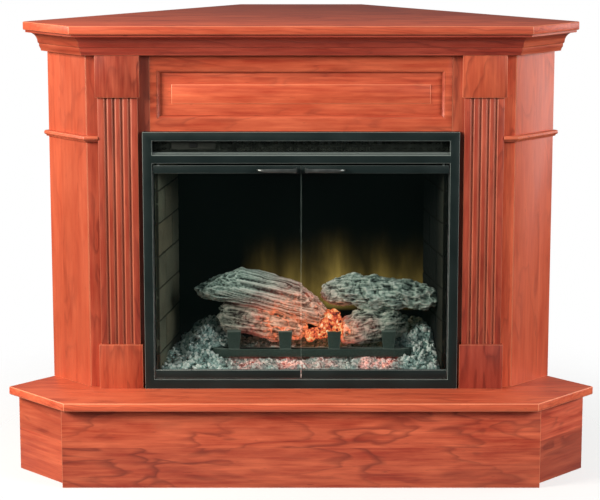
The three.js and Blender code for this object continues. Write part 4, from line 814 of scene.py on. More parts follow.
# How strong the flame is at each place, from the left to the right.
STRENGTH = {-150: 0.0, -120: 0.08, -89: 0.32, -66: 0.27, -50: 0.18, -30: 0.32, -8: 0.42, 22: 0.16, 46: 0.42, 62: 1.05,
            84: 1.1, 106: 0.85, 124: 0.45, 144: 0.16, 168: 0.26, 192: 0.45, 214: 0.36, 237: 0.22, 264: 0.36,
            292: 0.17, 320: 0.32, 340: 0.2}
stops = [((place_mm - LEFT_END) / (RIGHT_END - LEFT_END), (level, level, level, 1.0))
         for place_mm, level in STRENGTH.items()]
across = add(tree, "ShaderNodeValToRGB", {0: share}, stops=[stops[0], stops[-1], *stops[1:-1]]).outputs["Color"]
tall = add(tree, "ShaderNodeVectorMath", {0: here, 1: (24.0, 1.0, 5.0)}, operation="MULTIPLY").outputs[0]
tongue = add(tree, "ShaderNodeTexNoise", {"Vector": tall, "Scale": 1.0, "Detail": 3.0}).outputs["Fac"]
# The tongues end 526 to 586 mm above the floor and are strongest 190 mm lower. Their feet fade in over 50 mm.
tip = add(tree, "ShaderNodeMath", {0: tongue, 1: 0.06, 2: 0.526}, operation="MULTIPLY_ADD").outputs[0]
below = add(tree, "ShaderNodeMath", {0: tip, 1: at.outputs["Z"]}, operation="SUBTRACT").outputs[0]
body = add(tree, "ShaderNodeMapRange", {0: below, 1: 0.0, 2: 0.19, 3: 0.0, 4: 1.35}).outputs[0]
body = add(tree, "ShaderNodeMath", {0: body, 1: 3.2}, operation="POWER").outputs[0]
foot = add(tree, "ShaderNodeMapRange", {0: at.outputs["Z"], 1: 0.335, 2: 0.385, 3: 0.0, 4: 1.0}).outputs[0]
body = add(tree, "ShaderNodeMath", {0: body, 1: foot}, operation="MULTIPLY").outputs[0]
split = add(tree, "ShaderNodeMapRange", {0: tongue, 1: 0.35, 2: 0.62, 3: 0.7, 4: 1.15}).outputs[0]
body = add(tree, "ShaderNodeMath", {0: body, 1: split}, operation="MULTIPLY").outputs[0]
flame = add(tree, "ShaderNodeMath", {0: body, 1: across}, operation="MULTIPLY").outputs[0]
glow = add(tree, "ShaderNodeVectorMath", {0: linear("#FFDB70")[:3], "Scale": flame}, operation="SCALE").outputs[0]
tree.links.new(glow, surface.inputs["Emission Color"])
surface.inputs["Emission Strength"].default_value = 0.38
place(eased_copy("flame_screen", 0.5 * MM), "flame_screen_smoked", "cabinet", "flame_screen", [smoked],
      ["flame_screen"])
print("stops across the flames:", len(stops))

# %% [markdown]
# ## Carving the logs
# The logs are cast in ceramic fibre from real split and barked wood and then painted grey-green, paler on the
# ridges. Their solids are smooth lumps. Each is remeshed to an even skin and smoothed, and then its points are
# moved along their normals. For split wood the noise is stretched along the log, so it makes long parallel
# ridges. For bark it is stretched less and mixed with plates. How far a point moved is stored as its ridge
# value, and how near it lies to the embers as their light on it, because a finish needs both.

# %% Even skins, ridges and ember light
FIRE = [(Vector((0.055, -0.145, 0.325)), 0.048, 1.0), (Vector((-0.004, -0.140, 0.366)), 0.078, 1.00),
        (Vector((-0.055, -0.135, 0.322)), 0.075, 0.75), (Vector((0.112, -0.150, 0.322)), 0.030, 0.85),
        (Vector((0.165, -0.150, 0.340)), 0.022, 0.45)]      # middle, reach and strength of each glow


def ember_light(place_at):
    """How strongly the embers light a point, from 0 to 1."""
    return min(1.0, sum(s * math.exp(-(((place_at - c).length / r) ** 2)) for c, r, s in FIRE))


def even_skin(node, voxel, smoothing):
    """A solid's shape as an even mesh of small quads, smoothed."""
    host = bpy.data.objects.new("host", cad[node].data.copy())
    scene.collection.objects.link(host)
    weld = host.modifiers.new("weld", "WELD")
    weld.merge_threshold = 0.02 * MM
    skin = host.modifiers.new("skin", "REMESH")
    skin.mode, skin.voxel_size = "VOXEL", voxel
    soften = host.modifiers.new("soften", "SMOOTH")
    soften.factor, soften.iterations = 0.5, smoothing
    depsgraph = bpy.context.evaluated_depsgraph_get()
    mesh = bpy.data.meshes.new_from_object(host.evaluated_get(depsgraph))
    host.modifiers.clear()
    bpy.data.objects.remove(host)
    return mesh


def carve(mesh, seed, depth, gap, run_length, plates, ragged):
    """Moves a log's points along their normals into ridges, bark plates or both. Sizes are in metres.

    Plates are cracked every 16 to 30 mm and broken into chunks of 13 by 8 mm. Knobs are about 30 mm wide.
    """
    places = points_of(mesh).astype(float)
    normals = np.array([v.normal[:] for v in mesh.vertices])
    centre = places.mean(0)
    axis = np.linalg.svd(places - centre, full_matrices=False)[2][0]
    axis *= math.copysign(1.0, axis[0])
    run = (places - centre) @ axis
    across = places - centre - np.outer(run, axis)
    half = np.abs(run).max()
    relief, knobs = np.empty(len(places)), np.empty(len(places))
    for k in range(len(places)):
        a, q, r = run[k], across[k][1], across[k][2]
        bend = 0.6 * noise.noise(Vector((a * 14, seed, r * 10)))
        coarse = 1 - abs(noise.noise(Vector((a / run_length + seed, q / gap + bend, r / gap - bend)))) * 2
        finer = 1 - abs(noise.noise(Vector((a / run_length * 2.1, q / gap * 2.1, r / gap * 2.1 + seed)))) * 2
        value = 0.65 * coarse ** 2 + 0.45 * finer ** 2
        if plates:
            twist = 1.2 * noise.noise(Vector((a / 0.02, q / 0.02, r / 0.02 + seed)))
            crack = abs(noise.noise(Vector((a / 0.016 + twist, q / 0.030, r / 0.030 + seed))))
            chunk = noise.noise(Vector((a / 0.013, q / 0.008 + seed, r / 0.008)))
            value += plates * (min(0.0, crack * 5 - 1.0) * 0.7 + 0.8 * chunk)
        knobs[k] = noise.noise(Vector((a / 0.032 + seed, q / 0.026, r / 0.026)))
        relief[k] = value + 0.25 * noise.noise(Vector((a / 0.0045, q / 0.003, r / 0.003 + seed)))
    low, high = np.percentile(relief, (3, 97))
    relief = np.clip((relief - low) / (high - low), -0.1, 1.15)
    tip = np.clip((np.abs(run) / half - 0.82) / 0.18, 0, 1)
    ends = np.array([noise.noise(Vector((seed, q[1] / 0.010, q[2] / 0.010))) for q in across])
    lift = depth * (relief - 0.35) + (0.004 + 0.010 * plates) * knobs
    places += normals * lift[:, None] + np.outer(np.sign(run) * tip * ends * ragged, axis)
    mesh.vertices.foreach_set("co", places.astype(np.float32).ravel())
    mesh.update()
    mark(mesh, "ridge", np.clip(relief, 0, 1))
    mark(mesh, "ember_light", [ember_light(Vector(p)) for p in places])
    mesh.shade_smooth()


print("glows:", len(FIRE))


# %% Painted ceramic fibre
fibre, tree, surface = new_finish("painted_ceramic_fibre", {"Roughness": 0.88, "Specular IOR Level": 0.25})
here = add(tree, "ShaderNodeTexCoord").outputs["Object"]
ridge = add(tree, "ShaderNodeAttribute", attribute_name="ridge").outputs["Fac"]
light = add(tree, "ShaderNodeAttribute", attribute_name="ember_light").outputs["Fac"]
brown_and_glow_tint = add(tree, "ShaderNodeAttribute", attribute_name="brown_and_glow_tint").outputs["Fac"]
dabs = add(tree, "ShaderNodeTexNoise", {"Vector": here, "Scale": 190.0, "Detail": 4.0, "Roughness": 0.65})
high = add(tree, "ShaderNodeMath", {0: dabs.outputs["Fac"], 1: 0.55, 2: -0.27}, operation="MULTIPLY_ADD").outputs[0]
high = add(tree, "ShaderNodeMath", {0: ridge, 1: high}, operation="ADD").outputs[0]
paint = add(tree, "ShaderNodeValToRGB", {0: high}, stops=[(0.0, linear("#1C2A28")), (0.22, linear("#637D76")),
            (0.52, linear("#9CBEB3")), (0.90, linear("#D8F4EA"))]).outputs["Color"]
# Brown paint, and near the embers a painted tint of their pink light as well.
brown = add(tree, "ShaderNodeVectorMath", {0: paint, 1: (1.0, 0.66, 0.55)}, operation="MULTIPLY").outputs[0]
paint = add(tree, "ShaderNodeMix", {0: brown_and_glow_tint, 6: paint, 7: brown}, data_type="RGBA").outputs[2]
tree.links.new(paint, surface.inputs["Base Color"])
# Painted light: the embers' light is painted on the ridges near them as a soft glow, and in spots right beside
# them as if it shone through the shell.
lit = add(tree, "ShaderNodeMath", {0: high, 1: 0.50, 2: 0.09}, operation="MULTIPLY_ADD", use_clamp=True).outputs[0]
spots = add(tree, "ShaderNodeTexNoise", {"Vector": here, "Scale": 75.0, "Detail": 3.0, "Distortion": 0.8})
spots = add(tree, "ShaderNodeMapRange", {0: spots.outputs["Fac"], 1: 0.50, 2: 0.68, 3: 0.0, 4: 1.1}).outputs[0]
spots = add(tree, "ShaderNodeMath", {0: spots, 1: light}, operation="MULTIPLY").outputs[0]
spots = add(tree, "ShaderNodeMath", {0: spots, 1: brown_and_glow_tint}, operation="MULTIPLY").outputs[0]
spots = add(tree, "ShaderNodeMath", {0: spots, 1: 1.5}, operation="MULTIPLY").outputs[0]
lit = add(tree, "ShaderNodeMath", {0: lit, 1: spots}, operation="ADD").outputs[0]
lit = add(tree, "ShaderNodeMath", {0: lit, 1: light}, operation="MULTIPLY").outputs[0]
tree.links.new(lit, surface.inputs["Emission Strength"])
hue = add(tree, "ShaderNodeMix", {0: light, 6: linear("#EE6468"), 7: linear("#FF7A4C")}, data_type="RGBA").outputs[2]
tree.links.new(hue, surface.inputs["Emission Color"])
bump = add(tree, "ShaderNodeBump", {"Strength": 0.6, "Distance": 0.0012, "Height": dabs.outputs["Fac"]})
tree.links.new(bump.outputs["Normal"], surface.inputs["Normal"])
print("fibre nodes:", len(tree.nodes))

# %% Carve and place the four logs
LOGS = {  # seed, relief, gap, length of a ridge, share of bark plates, ragged ends, warmth
    "log_upper_left": (2.0, 3.6 * MM, 8.0 * MM, 0.34, 0.0, 18 * MM, 0.05),
    "log_lower_left": (7.0, 4.5 * MM, 9.0 * MM, 0.12, 0.35, 12 * MM, 0.45),
    "log_upper_right": (13.0, 5.0 * MM, 9.0 * MM, 0.040, 0.60, 18 * MM, 0.12),
    "log_lower_right": (19.0, 4.5 * MM, 8.0 * MM, 0.035, 0.60, 6 * MM, 0.40),
}
for node, (seed, depth, gap, length, plates, ragged, warmth) in LOGS.items():
    mesh = even_skin(node, 1.6 * MM, 4)
    if node == "log_upper_right":                    # a little longer than its solid, up to the wall
        mesh.transform(Matrix.Translation((0.055, 0, 0)) @ Matrix.Diagonal((1.03, 1, 1, 1)) @ Matrix.Translation(
            (-0.055, 0, 0)))
    carve(mesh, seed, depth, gap, length, plates, ragged)
    near = np.array([ember_light(v.co) for v in mesh.vertices])
    # Painted light too: the tint rises near the embers for their pink light on the logs, as well as for denser brown.
    mark(mesh, "brown_and_glow_tint", np.clip(warmth + 0.3 * near, 0, 1))   # the maker's brown is denser near the embers
    place(mesh, node + "_carved", "cabinet", "bark", [fibre], [node])
    print(node, len(mesh.polygons), "faces")

# %% [markdown]
# ## Embers
# The glowing heap between the logs is translucent resin over a red lamp. It is brightest where it is thin, so
# its hollows run from red to nearly white and its ribs stay dark. It is carved like the logs, only coarser.

# %% The glowing heap
ember, tree, surface = new_finish("glowing_ember_resin", {"Roughness": 0.7, "Specular IOR Level": 0.2})
here = add(tree, "ShaderNodeTexCoord").outputs["Object"]
ridge = add(tree, "ShaderNodeAttribute", attribute_name="ridge").outputs["Fac"]
veins = add(tree, "ShaderNodeTexNoise", {"Vector": here, "Scale": 110.0, "Detail": 3.0, "Distortion": 1.2})
heat = add(tree, "ShaderNodeMath", {0: veins.outputs["Fac"], 1: 1.3, 2: -0.15}, operation="MULTIPLY_ADD").outputs[0]
heat = add(tree, "ShaderNodeMath", {0: ridge, 1: -0.45, 2: heat}, operation="MULTIPLY_ADD").outputs[0]
hot = add(tree, "ShaderNodeValToRGB", {0: heat}, stops=[(0.02, linear("#4A1610")), (0.14, linear("#D04426")),
          (0.28, linear("#FF7A44")), (0.44, linear("#FFC074")), (0.62, linear("#FFF2D0"))]).outputs["Color"]
tree.links.new(hot, surface.inputs["Emission Color"])
surface.inputs["Emission Strength"].default_value = 1.1
crust = add(tree, "ShaderNodeMix", {0: heat, 6: linear("#5A3A34"), 7: linear("#C06048")}, data_type="RGBA")
tree.links.new(crust.outputs[2], surface.inputs["Base Color"])
mesh = even_skin("ember_heap", 1.4 * MM, 6)
mesh.transform(Matrix.Translation((0.003, 0.0, 0.004)))    # a little right and up, as in the photograph
carve(mesh, 31.0, 7.0 * MM, 9 * MM, 0.015, 0.7, 2 * MM)
place(mesh, "ember_heap_glowing", "cabinet", "embers", [ember], ["ember_heap"])
print("ember heap:", len(mesh.polygons), "faces")

# %% [markdown]
# ## The ember bed and its coals
# The bed is a moulded skin strewn with crumbs of mineral wool and coal: pale, grey-green lumps with black gaps,
# and, along the front, patches where a red lamp shines through. The skin is carved like a log. A tree scatters
# the lumps over its upper faces with a fixed seed, small ones everywhere and big ones on the two mounds. A lump
# has only a few dozen faces, because hundreds are needed.

# %% The tree that scatters the coals
group, given = new_tree("scattered_coals", {"Per square metre": 9000.0, "Smallest": 0.0035, "Largest": 0.007,
                                            "From the middle": 0.0, "Back edge": 1.0, "Seed": 1})
skin = given.outputs["Geometry"]
facing = add(group, "ShaderNodeSeparateXYZ", {0: add(group, "GeometryNodeInputNormal").outputs[0]}).outputs["Z"]
upward = add(group, "ShaderNodeMapRange", {0: facing, 1: 0.05, 2: 0.4}).outputs[0]
at = add(group, "ShaderNodeSeparateXYZ", {0: add(group, "GeometryNodeInputPosition").outputs[0]})
aside = add(group, "ShaderNodeMath", {0: at.outputs["X"], 1: -0.019}, operation="ADD").outputs[0]
aside = add(group, "ShaderNodeMath", {0: aside}, operation="ABSOLUTE").outputs[0]
beyond = add(group, "ShaderNodeMath", {0: aside, 1: given.outputs["From the middle"]},
             operation="SUBTRACT").outputs[0]
beyond = add(group, "ShaderNodeMapRange", {0: beyond, 1: 0.0, 2: 0.02}).outputs[0]
share = add(group, "ShaderNodeMath", {0: upward, 1: beyond}, operation="MULTIPLY").outputs[0]
# None lies so near the back edge that it would stick through the screen behind.
clear = add(group, "ShaderNodeMath", {0: given.outputs["Back edge"], 1: at.outputs["Y"]}, operation="SUBTRACT")
clear = add(group, "ShaderNodeMapRange", {0: clear.outputs[0], 1: 8 * MM, 2: 11 * MM}).outputs[0]
share = add(group, "ShaderNodeMath", {0: share, 1: clear}, operation="MULTIPLY").outputs[0]
share = add(group, "ShaderNodeMath", {0: share, 1: given.outputs["Per square metre"]},
            operation="MULTIPLY").outputs[0]
spots = add(group, "GeometryNodeDistributePointsOnFaces", {"Mesh": skin, "Density": share,
            "Seed": given.outputs["Seed"]}).outputs["Points"]
lump = add(group, "GeometryNodeMeshUVSphere", {"Segments": 8, "Rings": 5, "Radius": 1.0}).outputs["Mesh"]
turn = add(group, "FunctionNodeRandomValue", {0: (0, 0, 0), 1: (6.28, 6.28, 6.28)}, data_type="FLOAT_VECTOR")
big = add(group, "FunctionNodeRandomValue", {2: given.outputs["Smallest"], 3: given.outputs["Largest"],
          "Seed": 4}, data_type="FLOAT").outputs[1]
form = add(group, "FunctionNodeRandomValue", {0: (0.7, 0.6, 0.5), 1: (1.5, 1.1, 0.9), "Seed": 7},
           data_type="FLOAT_VECTOR").outputs[0]
form = add(group, "ShaderNodeVectorMath", {0: form, "Scale": big}, operation="SCALE").outputs[0]
coals = add(group, "GeometryNodeInstanceOnPoints", {"Points": spots, "Instance": lump, "Rotation": turn.outputs[0],
            "Scale": form}).outputs[0]
shade = add(group, "FunctionNodeRandomValue", {"Seed": 12}, data_type="FLOAT").outputs[1]
coals = add(group, "GeometryNodeStoreNamedAttribute", {"Geometry": coals, "Name": "shade", "Value": shade},
            data_type="FLOAT", domain="INSTANCE").outputs[0]
coals = add(group, "GeometryNodeRealizeInstances", {"Geometry": coals}).outputs[0]
knobs = add(group, "ShaderNodeTexNoise", {"Scale": 190.0, "Detail": 2.0}).outputs["Color"]
knobs = add(group, "ShaderNodeVectorMath", {0: knobs, 1: (0.5, 0.5, 0.5)}, operation="SUBTRACT").outputs[0]
knobs = add(group, "ShaderNodeVectorMath", {0: knobs, "Scale": 0.007}, operation="SCALE").outputs[0]
coals = add(group, "GeometryNodeSetPosition", {"Geometry": coals, "Offset": knobs}).outputs[0]
print("coal tree nodes:", len(group.nodes))

# %% Ashy lumps
ash, tree, surface = new_finish("ashy_mineral_lumps", {"Roughness": 0.9, "Specular IOR Level": 0.3})
here = add(tree, "ShaderNodeTexCoord").outputs["Object"]
shade = add(tree, "ShaderNodeAttribute", attribute_name="shade").outputs["Fac"]
glow = add(tree, "ShaderNodeAttribute", attribute_name="glow").outputs["Fac"]
crumbs = add(tree, "ShaderNodeTexNoise", {"Vector": here, "Scale": 210.0, "Detail": 3.0, "Roughness": 0.6})
mix = add(tree, "ShaderNodeMath", {0: crumbs.outputs["Fac"], 1: 0.9, 2: shade}, operation="MULTIPLY_ADD").outputs[0]
grey = add(tree, "ShaderNodeValToRGB", {0: mix}, stops=[(0.34, linear("#0E1A19")), (0.54, linear("#5E7E7A")),
           (0.76, linear("#ACD0CB")), (0.96, linear("#EAFCF6"))]).outputs["Color"]
tree.links.new(grey, surface.inputs["Base Color"])
hot = add(tree, "ShaderNodeMath", {0: crumbs.outputs["Fac"], 1: 1.6, 2: -0.45}, operation="MULTIPLY_ADD").outputs[0]
hot = add(tree, "ShaderNodeMath", {0: hot, 1: glow}, operation="MULTIPLY", use_clamp=True).outputs[0]
fire = add(tree, "ShaderNodeValToRGB", {0: hot}, stops=[(0.0, linear("#000000")), (0.16, linear("#A82A1C")),
           (0.34, linear("#FF5A44")), (0.62, linear("#FFA07E"))]).outputs["Color"]
tree.links.new(fire, surface.inputs["Emission Color"])
surface.inputs["Emission Strength"].default_value = 0.9
bump = add(tree, "ShaderNodeBump", {"Strength": 0.4, "Distance": 0.001, "Height": crumbs.outputs["Fac"]})
tree.links.new(bump.outputs["Normal"], surface.inputs["Normal"])
close_tree(group, coals, ash)
print("ash nodes:", len(tree.nodes))

# %% Strew the bed
bed_low, bed_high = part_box("ember_bed")
PATCHES = [(-0.121, 0.030, 1.0), (-0.028, 0.026, 1.25), (0.050, 0.045, 0.42), (0.150, 0.020, 0.8),
           (0.195, 0.024, 1.1)]                       # middle, half width, strength of each red patch


def glow_at(spot):
    """How strongly the lamp under the bed shines through at a place."""
    depth = math.exp(-(((spot[1] - bed_low.y - 0.022) / 0.024) ** 2))
    patch = sum(s * math.exp(-(((spot[0] - m) / w) ** 2)) for m, w, s in PATCHES)
    grain = 0.75 + 0.9 * noise.noise(Vector((spot[0] * 90, spot[1] * 90, 3.0)))
    return max(0.0, depth * patch * grain)


bed = even_skin("ember_bed", 2.6 * MM, 3)
carve(bed, 43.0, 3.0 * MM, 9 * MM, 0.02, 0.8, 0.0)
mark(bed, "shade", np.full(len(bed.vertices), 0.25))
strewn = {"ember_bed_crumbs": {"Per square metre": 16000.0, "Smallest": 2.2 * MM, "Largest": 4.6 * MM, "Seed": 2},
          "ember_bed_lumps": {"Per square metre": 7000.0, "Smallest": 4.0 * MM, "Largest": 7.6 * MM,
                              "From the middle": 0.165, "Seed": 6}}
for name, values in strewn.items():
    coals = grown(group, bed.copy(), {**values, "Back edge": bed_high.y})
    coals.shade_smooth()
    coals.set_sharp_from_angle(angle=math.radians(55))
    mark(coals, "glow", [glow_at(v.co) for v in coals.vertices])
    place(coals, name, "cabinet", "embers", [ash])
    print(name, len(coals.polygons), "faces")
mark(bed, "glow", [glow_at(v.co) for v in bed.vertices])
place(bed, "ember_bed_skin", "cabinet", "embers", [ash], ["ember_bed"])

# %% [markdown]
# ## The grate
# A cast-iron grate stands in the coals and holds the logs. Sand casting leaves a grainy skin, and dust settles
# on the upper edges, which look paler for it. The solid has the right shape and only needs eased edges, and its
# posts are spread a little towards their tops, as cast ones are, so that they draw out of the mould.

# %% Cast iron
iron, tree, surface = new_finish("sand_cast_iron", {"Metallic": 0.35, "Roughness": 0.62})
here = add(tree, "ShaderNodeTexCoord").outputs["Object"]
sand = add(tree, "ShaderNodeTexNoise", {"Vector": here, "Scale": 420.0, "Detail": 3.0}).outputs["Fac"]
dust = add(tree, "ShaderNodeSeparateXYZ", {0: add(tree, "ShaderNodeNewGeometry").outputs["Normal"]}).outputs["Z"]
dust = add(tree, "ShaderNodeMapRange", {0: dust, 1: 0.2, 2: 0.9, 3: 0.0, 4: 0.55}).outputs[0]
skin = add(tree, "ShaderNodeMix", {0: sand, 6: linear("#1E302C"), 7: linear("#4C685F")}, data_type="RGBA").outputs[2]
# The eased edges are paler too: wear and a painted highlight.
rubbed_and_highlit = add(tree, "ShaderNodeAttribute", attribute_name="rubbed_and_highlit").outputs["Fac"]
wear_and_highlight = add(tree, "ShaderNodeMath", {0: rubbed_and_highlit, 1: 0.35}, operation="MULTIPLY").outputs[0]
pale = add(tree, "ShaderNodeMath", {0: dust, 1: wear_and_highlight}, operation="ADD", use_clamp=True).outputs[0]
skin = add(tree, "ShaderNodeMix", {0: pale, 6: skin, 7: linear("#93A8A0")}, data_type="RGBA").outputs[2]
tree.links.new(skin, surface.inputs["Base Color"])
bump = add(tree, "ShaderNodeBump", {"Strength": 0.5, "Distance": 0.0006, "Height": sand})
tree.links.new(bump.outputs["Normal"], surface.inputs["Normal"])
print("iron nodes:", len(tree.nodes))

# %% Spread the grate's posts
FLARE = 0.3              # share by which a post's top is made wider
BETWEEN_POSTS = 40 * MM  # a wider gap than this parts one post's points from the next one's
grate = eased_copy("grate", 1.6 * MM, 3)
spots = points_of(grate)
tops = spots[:, 2] > spots[:, 2].max() - 6 * MM
ordered = np.sort(spots[tops, 0])
gaps = np.where(np.diff(ordered) > BETWEEN_POSTS)[0] + 1
posts = [(post[0] + post[-1]) / 2 for post in np.split(ordered, gaps)]
for middle in posts:
    its_top = tops & (np.abs(spots[:, 0] - middle) < 30 * MM)
    spots[its_top, 0] += (spots[its_top, 0] - middle) * FLARE
grate.vertices.foreach_set("co", spots.ravel())
place(grate, "grate_cast", "cabinet", "grate_iron", [iron], ["grate"])
print("grate posts:", len(posts))
place(eased_copy("heating_element", 0.2 * MM, 1, 50), "heating_element_rods", "cabinet", "grate_iron", [iron],
      ["heating_element"])

# %% [markdown]
# ## Casing and works
# Behind the fire everything is plain galvanised sheet. Zinc freezes on steel in flat crystals, the spangle, each
# of which reflects a little differently. A Voronoi pattern with one value for each cell gives them, 12 mm wide.
# The firebox ceiling is the same sheet painted black, and the rotor that throws the flicker is bright foil.

# %% Zinc, foil and black paint
zinc, tree, surface = new_finish("spangled_zinc", {"Metallic": 1.0})
here = add(tree, "ShaderNodeTexCoord").outputs["Object"]
cells = add(tree, "ShaderNodeTexVoronoi", {"Vector": here, "Scale": 85.0}).outputs["Color"]
cell = add(tree, "ShaderNodeSeparateXYZ", {0: cells})
grey = add(tree, "ShaderNodeMix", {0: cell.outputs["X"], 6: linear("#A3A9AD"), 7: linear("#CDD2D3")},
           data_type="RGBA")
tree.links.new(grey.outputs[2], surface.inputs["Base Color"])
facet = add(tree, "ShaderNodeMapRange", {0: cell.outputs["Y"], 1: 0.0, 2: 1.0, 3: 0.32, 4: 0.52})
tree.links.new(facet.outputs[0], surface.inputs["Roughness"])
# The rotor's foil is brighter than the zinc and creased, so that the light it throws flickers.
foil, tree, surface = new_finish("bright_rotor_foil", {"Metallic": 1.0, "Roughness": 0.22})
here = add(tree, "ShaderNodeTexCoord").outputs["Object"]
creases = add(tree, "ShaderNodeTexNoise", {"Vector": here, "Scale": 120.0, "Detail": 2.0}).outputs["Fac"]
silver = add(tree, "ShaderNodeMix", {0: creases, 6: linear("#A9ABA8"), 7: linear("#D9DAD6")}, data_type="RGBA")
tree.links.new(silver.outputs[2], surface.inputs["Base Color"])
bump = add(tree, "ShaderNodeBump", {"Strength": 0.4, "Distance": 0.0006, "Height": creases})
tree.links.new(bump.outputs["Normal"], surface.inputs["Normal"])
print("zinc nodes:", len(zinc.node_tree.nodes), "foil nodes:", len(tree.nodes))

# %% Dress the casing and the works
for node, body in {"casing_floor": "cabinet", "casing_top": "cabinet", "casing_wrap": "cabinet",
                   "rotor_frame": "cabinet", "heater_frame": "cabinet", "blower_wheel": "blower"}.items():
    place(eased_copy(node, 0.3 * MM, 1, 50), node + "_zinc", body, "galvanised", [zinc], [node])
place(eased_copy("flicker_rotor", 0.1 * MM, 1, 50), "flicker_rotor_foil", "rotor", "bright_steel", [foil],
      ["flicker_rotor"])
place(eased_copy("firebox_ceiling", 0.3 * MM, 1), "firebox_ceiling_black", "cabinet", "black_steel", [dark_sheet],
      ["firebox_ceiling"])

# %% [markdown]
# ## Screws
# The casing's folded edges are held by sheet-metal screws with a hexagon head on a round flange, and the bare
# boards at the back by wood screws with a flat round head. One tree makes both. It is given a small mesh that is
# only points, one for each screw, and an attribute that says which way each one faces. The tree turns a head to
# that way and sets it on the point, so a new row of screws is only a new list of places.

# %% The tree that sets the screw heads
group, given = new_tree("screw_heads", {"Flange": 5.2 * MM, "Head": 3.9 * MM, "Tall": 2.2 * MM, "Sides": 6})
flange = add(group, "GeometryNodeMeshCylinder", {"Vertices": 20, "Radius": given.outputs["Flange"],
             "Depth": 1.2 * MM}).outputs["Mesh"]
narrow = add(group, "ShaderNodeMath", {0: given.outputs["Head"], 1: 0.88}, operation="MULTIPLY").outputs[0]
head = add(group, "GeometryNodeMeshCone", {"Vertices": given.outputs["Sides"], "Radius Top": narrow,
           "Radius Bottom": given.outputs["Head"], "Depth": given.outputs["Tall"]}).outputs["Mesh"]
screw = add(group, "GeometryNodeJoinGeometry")
for part in (flange, head):
    group.links.new(part, screw.inputs[0])
facing = add(group, "GeometryNodeInputNamedAttribute", {"Name": "facing"}, data_type="FLOAT_VECTOR").outputs[0]
turn = add(group, "FunctionNodeAlignRotationToVector", {"Vector": facing}, axis="Z").outputs[0]
spots = add(group, "GeometryNodeMeshToPoints", {"Mesh": given.outputs["Geometry"]}).outputs[0]
heads = add(group, "GeometryNodeInstanceOnPoints", {"Points": spots, "Instance": screw.outputs[0],
            "Rotation": turn}).outputs[0]
close_tree(group, heads, zinc)
print("screw tree nodes:", len(group.nodes))


# %% Drive them in
def drive(name, places, sizes):
    """One piece with a screw head at each place, a pair of a point and the way it faces."""
    seed_mesh = bpy.data.meshes.new(name + "_places")
    seed_mesh.from_pydata([tuple(spot) for spot, way in places], [], [])
    mark(seed_mesh, "facing", [tuple(way) for spot, way in places], "FLOAT_VECTOR")
    heads = grown(group, seed_mesh, sizes)
    heads.polygons.foreach_set("material_index", [0] * len(heads.polygons))
    place(heads, name, "cabinet", "galvanised", [zinc])
    print(name, len(places))


low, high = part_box("casing_wrap")
BACK = Vector((0, 1, 0))
casing = [(Vector((x, high.y, z)), BACK) for z in (low.z + 12 * MM, high.z - 12 * MM)
          for x in (low.x + 20 * MM, low.x * 0.45, 0.0, high.x * 0.45, high.x - 20 * MM)]
for x, way in ((low.x, Vector((-1, 0, 0))), (high.x, Vector((1, 0, 0)))):
    casing += [(Vector((x, y, z)), way) for z in (low.z + 12 * MM, high.z - 12 * MM)
               for y in (low.y + 45 * MM, low.y * 0.2, high.y - 20 * MM)]
drive("casing_screws", casing, {})

boards = []
for back, wall, rows in (("hearth_back_board", "hearth_wall_board_right", (40 * MM, 140 * MM)),
                         ("back_rail", "wall_rail_right", (980 * MM, 1010 * MM))):
    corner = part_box(back)[1]                         # where the boards' outer faces meet, on the right
    run = (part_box(wall)[1].x - corner.x) * math.sqrt(2)
    boards += [(Vector((s * (corner.x - 16 * MM), corner.y, z)), BACK) for s in (-1, 1) for z in rows]
    for s in (-1, 1):
        down = Vector((s, -1, 0)).normalized()
        out = Vector((s, 1, 0)).normalized()
        boards += [(Vector((s * corner.x, corner.y, z)) + down * at, out) for at in (18 * MM, run - 30 * MM)
                   for z in rows]
drive("board_screws", boards, {"Flange": 4.4 * MM, "Head": 4.0 * MM, "Tall": 0.7 * MM, "Sides": 20})

# %% [markdown]
# ## Floor, room and lamps
# The photograph was taken in a studio with two soft boxes not much higher than the mantel. That is why the
# hearth's top is bright and the shelf's top, which they only graze, is dark. The left box is the nearer one, and
# the right one puts a pale sheen on the upper right side. The floor is plain and pale. The room is a soft grey
# for light and gloss, and white where it is seen directly, as the cut-out background of the photograph is.

# %% Floor
bm = bmesh.new()
bmesh.ops.create_grid(bm, x_segments=1, y_segments=1, size=9.0)
floor_mesh = bpy.data.meshes.new("studio_floor")
bm.to_mesh(floor_mesh)
bm.free()
floor = bpy.data.objects.new("studio_floor", floor_mesh)
scene.collection.objects.link(floor)
floor_paint, tree, surface = new_finish("floor_paint", {"Base Color": linear("#F7F6F4"), "Roughness": 0.9})
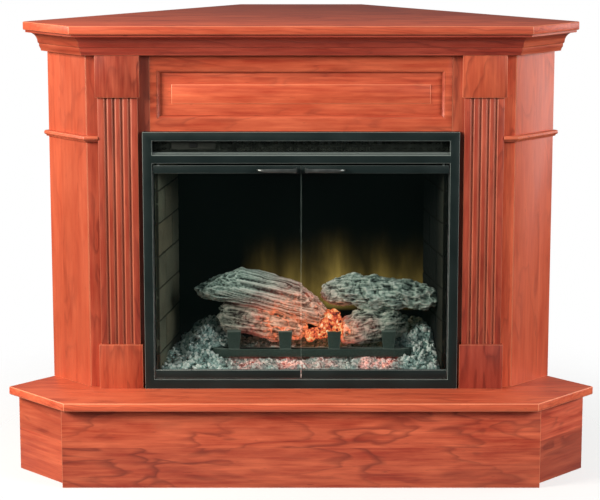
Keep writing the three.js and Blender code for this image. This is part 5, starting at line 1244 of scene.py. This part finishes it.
# The paint thins out away from the fireplace, so the floor has no far edge.
here = add(tree, "ShaderNodeTexCoord").outputs["Object"]
distance = add(tree, "ShaderNodeVectorMath", {0: here}, operation="LENGTH").outputs["Value"]
thin = add(tree, "ShaderNodeMapRange", {0: distance, 1: 0.4, 2: 1.3, 3: 0.42, 4: 0.0},
           interpolation_type="SMOOTHSTEP")
tree.links.new(thin.outputs[0], surface.inputs["Alpha"])
floor_mesh.materials.append(floor_paint)
print("floor:", floor.name)

# %% The room's light
room = bpy.data.worlds.new("studio_room")
scene.world = room
room.use_nodes = True
tree = room.node_tree
tree.nodes.clear()
seen = add(tree, "ShaderNodeBackground", {"Color": (1.0, 1.0, 1.0, 1.0), "Strength": 1.0})
ray = add(tree, "ShaderNodeSeparateXYZ", {0: add(tree, "ShaderNodeTexCoord").outputs["Generated"]}).outputs["Z"]
level = add(tree, "ShaderNodeMapRange", {0: ray, 1: 0.0, 2: 0.75, 3: 0.06, 4: 0.36}).outputs[0]
fill = add(tree, "ShaderNodeBackground", {"Color": linear("#E9EEF2"), "Strength": level})
direct = add(tree, "ShaderNodeLightPath").outputs["Is Camera Ray"]
mixed = add(tree, "ShaderNodeMixShader", {0: direct, 1: fill.outputs[0], 2: seen.outputs[0]})
add(tree, "ShaderNodeOutputWorld", {"Surface": mixed.outputs[0]})
print("room nodes:", len(tree.nodes))


# %% Soft boxes
def soft_box(name, place_at, look_at, width, height, watts, colour):
    """A rectangular lamp that faces a point."""
    data = bpy.data.lights.new(name, "AREA")
    data.shape, data.size, data.size_y = "RECTANGLE", width, height
    data.energy, data.color = watts, linear(colour)[:3]
    lamp = bpy.data.objects.new(name, data)
    lamp.location = place_at
    lamp.rotation_euler = (Vector(look_at) - Vector(place_at)).to_track_quat("-Z", "Y").to_euler()
    scene.collection.objects.link(lamp)


soft_box("soft_box_left", (-2.7, -1.4, 1.8), (-0.3, 0.0, 0.55), 1.2, 1.2, 150.0, "#FFF4E8")
soft_box("soft_box_right", (3.1, -2.1, 1.85), (0.2, 0.0, 0.6), 1.2, 1.2, 92.0, "#FFFAF4")
soft_box("white_card_right", (3.0, 0.7, 1.05), (0.5, 0.0, 0.8), 1.6, 1.1, 16.0, "#FFFFFF")
